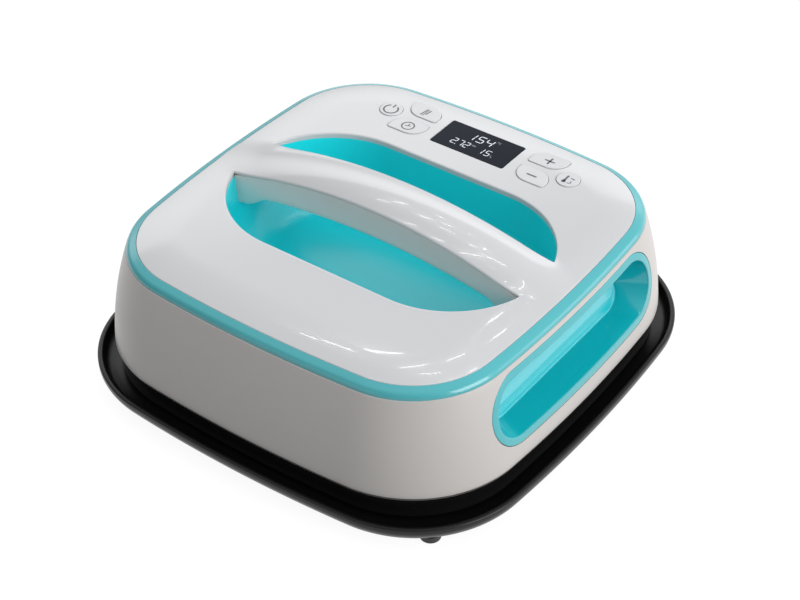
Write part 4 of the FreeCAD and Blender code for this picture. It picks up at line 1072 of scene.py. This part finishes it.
def make_figures():
    z = COVER_TOP_Z + PRINT_Z
    lines = []
    for figure, x in (("1", -8.9), ("5", -2.6), ("4", 3.0)):
        lines += digit(figure, x, 88.2, 3.9, 6.2, 0.6)
    for figure, x in (("2", -14.6), ("7", -10.2), ("2", -6.2)):
        lines += digit(figure, x, 79.6, 2.7, 5.2, 0.5)
    lines.append(([(-11.3, 79.4), (-10.7, 79.4)], 0.6))
    for figure, x in (("1", 3.9), ("5", 8.5)):
        lines += digit(figure, x, 79.6, 2.7, 5.2, 0.5)
    strokes("display_figures", lines, z, LIT, "press")
    dim = [(circle(9.3, 94.9, 0.4), 0.25), (circle(11.0, 94.3, 0.7, 60, 300), 0.3)]
    for x, high in ((-1.6, 84.6), (-0.9, 84.4), (-0.2, 84.6), (0.5, 84.4)):
        dim.append(([(x, high), (x, 83.2)], 0.35))
    dim += [(circle(13.3, 80.9, 0.6, 90, 270), 0.3), (circle(13.3, 79.7, 0.6, -90, 90), 0.3)]
    strokes("display_units", dim, z, DIM, "press")


dress_cad_nodes()
make_cover()
make_wall()
make_grip(1)
make_grip(-1)
make_ring()
make_bowl()
make_handle_grip()
make_stand()
make_feet()
make_skirt()
make_buttons()
make_window()
make_marks()
make_figures()


# Stage, lamps and camera

# Camera: angles, the point in millimetres that it looks at, its distance in metres, and its frame
CAMERA_AZIMUTH = math.radians(36.16)
CAMERA_ELEVATION = math.radians(38.93)
CAMERA_ROLL = math.radians(-0.33)
CAMERA_TARGET = Vector((43.3, -48.9, 85.0))
CAMERA_DISTANCE = 1.0325
FOCAL_PX = 1970.0
FRAME_PX = (800.0, 600.0)
SENSOR_WIDTH = 36.0

# Where each streak of light on the gloss starts and ends in the photograph, in its pixels
STREAKS_PX = (
    ((304, 334), (318, 340)),
    ((322, 340), (352, 350)),
    ((366, 350), (402, 353)),
    ((400, 368), (428, 364)),
    ((420, 374), (440, 373)),
    ((446, 361), (464, 354)),
    ((464, 375), (476, 368)),
    ((444, 381), (454, 378)),
    ((494, 338), (506, 329)),
    ((488, 322), (503, 313)),
    ((490, 267), (506, 281)),
    ((506, 266), (517, 290)),
    ((429, 236), (444, 241)),
    ((460, 252), (484, 257)),
    ((396, 221), (416, 225)),
)
STREAK_DISTANCE = 1.5
STREAK_LEAST = 0.03
STREAK_WIDTH = 0.015
STREAK_RADIANCE = 18.0
STREAK_TARGET = Vector((0.06, -0.06, 0.09))
SLOPE_STEP = 0.4

# Glow of the backdrop: brightness, and for each axis the two ends of a smooth step along it
GLOW = 1.7
GLOW_STEPS = (
    ((-0.485, 0.372, -0.791), -0.012, 0.03),
    ((-0.616, 0.788, 0.0), 0.5, 0.75),
    ((0.0, 0.0, 1.0), 0.1, 0.5),
)
SKY_TOWARDS = (0.2, 0.6, 0.8)
SKY_FROM = -0.35
SKY_TO = 1.0
SKY_LOW = 0.28
SKY_HIGH = 0.98
SKY_TINT = (0.98, 0.99, 1.0, 1)
FLOOR_HALF = 6.0
FLOOR_Z = -0.0002
FLOOR_TONE = 0.12
FLOOR_SEEN = 0.92

# Each soft lamp's place, target and sizes in metres, and its power in watts
LAMPS = {
    "right_key": ((2.75, 0.1, 0.95), (0, 0, 0.05), 1.9, 1.6, 56),
    "rear_right": ((1.7, 1.6, 0.42), (0.1, 0, 0.05), 1.1, 0.6, 4.5),
    "front_fill": ((-0.5, -1.85, 0.6), (0, 0, 0.08), 1.2, 0.8, 2.2),
}


def combine(nodes, links, operation, first, second):
    """Output of a Math node, given a socket and another socket or a number."""
    node = nodes.new("ShaderNodeMath")
    node.operation = operation
    links.new(first, node.inputs[0])
    if isinstance(second, float):
        node.inputs[1].default_value = second
    else:
        links.new(second, node.inputs[1])
    return node.outputs[0]


def ramp_along(nodes, links, way_out, axis, start, end, low=0.0, high=1.0):
    """Smooth step of how far a direction points along an axis."""
    along = nodes.new("ShaderNodeVectorMath")
    along.operation = "DOT_PRODUCT"
    along.inputs[1].default_value = axis
    links.new(way_out, along.inputs[0])
    ramp = nodes.new("ShaderNodeMapRange")
    ramp.interpolation_type = "SMOOTHSTEP"
    for name, value in (("From Min", start), ("From Max", end), ("To Min", low), ("To Max", high)):
        ramp.inputs[name].default_value = value
    links.new(along.outputs["Value"], ramp.inputs["Value"])
    return ramp.outputs["Result"]


def make_stage():
    """Floor that looks white to the camera and in reflections, and lights the object only a little."""
    size = FLOOR_HALF
    mesh = bpy.data.meshes.new("floor")
    corners = [(-size, -size, 0), (size, -size, 0), (size, size, 0), (-size, size, 0)]
    mesh.from_pydata(corners, [], [(0, 1, 2, 3)])
    floor = bpy.data.objects.new("floor", mesh)
    floor.location.z = FLOOR_Z
    bpy.context.scene.collection.objects.link(floor)
    material = bpy.data.materials.new("floor_white")
    material.use_nodes = True
    nodes = material.node_tree.nodes
    links = material.node_tree.links
    shader = nodes["Principled BSDF"]
    shader.inputs["Base Color"].default_value = (FLOOR_TONE, FLOOR_TONE, FLOOR_TONE, 1)
    shader.inputs["Roughness"].default_value = 0.9
    path = nodes.new("ShaderNodeLightPath")
    seen = combine(nodes, links, "MAXIMUM", path.outputs["Is Camera Ray"], path.outputs["Is Glossy Ray"])
    seen = combine(nodes, links, "MAXIMUM", seen, path.outputs["Is Transmission Ray"])
    shader.inputs["Emission Color"].default_value = (1, 1, 1, 1)
    links.new(combine(nodes, links, "MULTIPLY", seen, FLOOR_SEEN), shader.inputs["Emission Strength"])
    mesh.materials.append(material)


def glow_from(nodes, links, way_out):
    """Brightness of the white backdrop, low behind the press and to its left."""
    total = None
    for axis, start, end in GLOW_STEPS:
        part = ramp_along(nodes, links, way_out, axis, start, end)
        total = part if total is None else combine(nodes, links, "MULTIPLY", total, part)
    return combine(nodes, links, "MULTIPLY", total, GLOW)


def make_world():
    """Soft sky, brightest above the rear and the right, which the camera itself sees as white."""
    world = bpy.data.worlds.new("studio")
    bpy.context.scene.world = world
    world.use_nodes = True
    nodes = world.node_tree.nodes
    links = world.node_tree.links
    nodes.clear()
    way_out = nodes.new("ShaderNodeTexCoord").outputs["Generated"]
    axis = Vector(SKY_TOWARDS).normalized()
    sky = ramp_along(nodes, links, way_out, axis, SKY_FROM, SKY_TO, SKY_LOW, SKY_HIGH)
    light = nodes.new("ShaderNodeBackground")
    light.inputs["Color"].default_value = SKY_TINT
    links.new(combine(nodes, links, "ADD", sky, glow_from(nodes, links, way_out)), light.inputs["Strength"])
    path = nodes.new("ShaderNodeLightPath")
    seen = nodes.new("ShaderNodeBackground")
    seen.inputs["Color"].default_value = (1, 1, 1, 1)
    seen.inputs["Strength"].default_value = 1.0
    mix = nodes.new("ShaderNodeMixShader")
    output = nodes.new("ShaderNodeOutputWorld")
    links.new(path.outputs["Is Camera Ray"], mix.inputs[0])
    links.new(light.outputs[0], mix.inputs[1])
    links.new(seen.outputs[0], mix.inputs[2])
    links.new(mix.outputs[0], output.inputs["Surface"])


def lamp(name, at, target, size_x, size_y, power):
    data = bpy.data.lights.new(name, "AREA")
    data.shape = "RECTANGLE"
    data.size = size_x
    data.size_y = size_y
    data.energy = power
    piece = bpy.data.objects.new(name, data)
    piece.location = at
    aim = Vector(target) - Vector(at)
    piece.rotation_euler = aim.to_track_quat("-Z", "Y").to_euler()
    bpy.context.scene.collection.objects.link(piece)
    return piece


def camera_axes():
    """The camera's right, up and backward directions."""
    azimuth = CAMERA_AZIMUTH
    flat = math.cos(CAMERA_ELEVATION)
    back = Vector((math.sin(azimuth) * flat, -math.cos(azimuth) * flat, math.sin(CAMERA_ELEVATION)))
    level = Vector((0, 0, 1)).cross(back).normalized()
    upright = back.cross(level)
    right = level * math.cos(CAMERA_ROLL) + upright * math.sin(CAMERA_ROLL)
    up = upright * math.cos(CAMERA_ROLL) - level * math.sin(CAMERA_ROLL)
    return right, up, back


def lamp_place(px, py):
    """Where a lamp hangs, to the centimetre, so that the cover reflects it at that pixel."""
    right, up, back = camera_axes()
    eye = CAMERA_TARGET + back * CAMERA_DISTANCE / MM
    across = (px - FRAME_PX[0] / 2) / FOCAL_PX
    down = (py - FRAME_PX[1] / 2) / FOCAL_PX
    sight = right * across - up * down - back
    z = COVER_TOP_Z
    for _ in range(60):
        at = eye + sight * ((z - eye.z) / sight.z)
        z += (cover_z(at.x, at.y) - z) * 0.6
    rise_x = cover_z(at.x + SLOPE_STEP, at.y) - cover_z(at.x - SLOPE_STEP, at.y)
    rise_y = cover_z(at.x, at.y + SLOPE_STEP) - cover_z(at.x, at.y - SLOPE_STEP)
    normal = Vector((-rise_x, -rise_y, 2 * SLOPE_STEP)).normalized()
    sight.normalize()
    mirrored = sight - normal * (2 * sight.dot(normal))
    place = Vector((at.x, at.y, z)) * MM + mirrored * STREAK_DISTANCE
    return Vector([round(c, 2) for c in place])


def hang_streaks():
    """Narrow lamps above the rear, each between two points, all facing the press."""
    for number, (first_px, last_px) in enumerate(STREAKS_PX):
        start = lamp_place(*first_px)
        end = lamp_place(*last_px)
        middle = (start + end) / 2
        along = end - start
        length = max(along.length, STREAK_LEAST)
        power = math.pi * length * STREAK_WIDTH * STREAK_RADIANCE
        streak = lamp(f"streak_{number}", middle, STREAK_TARGET, length, STREAK_WIDTH, power)
        back = (middle - STREAK_TARGET).normalized()
        across = back.cross(along).normalized()
        along = across.cross(back)
        streak.rotation_euler = Matrix((along, across, back)).transposed().to_euler()


def make_camera():
    data = bpy.data.cameras.new("camera")
    data.sensor_width = SENSOR_WIDTH
    data.sensor_fit = "HORIZONTAL"
    data.lens = FOCAL_PX * SENSOR_WIDTH / FRAME_PX[0]
    data.clip_end = 50.0
    camera = bpy.data.objects.new("camera", data)
    right, up, back = camera_axes()
    at = CAMERA_TARGET * MM + back * CAMERA_DISTANCE
    camera.matrix_world = Matrix.Translation(at) @ Matrix((right, up, back)).transposed().to_4x4()
    bpy.context.scene.collection.objects.link(camera)
    bpy.context.scene.camera = camera


make_stage()
make_world()
for lamp_name, settings in LAMPS.items():
    lamp(lamp_name, *settings)
hang_streaks()
make_camera()

scene = bpy.context.scene
scene.view_settings.view_transform = "Standard"
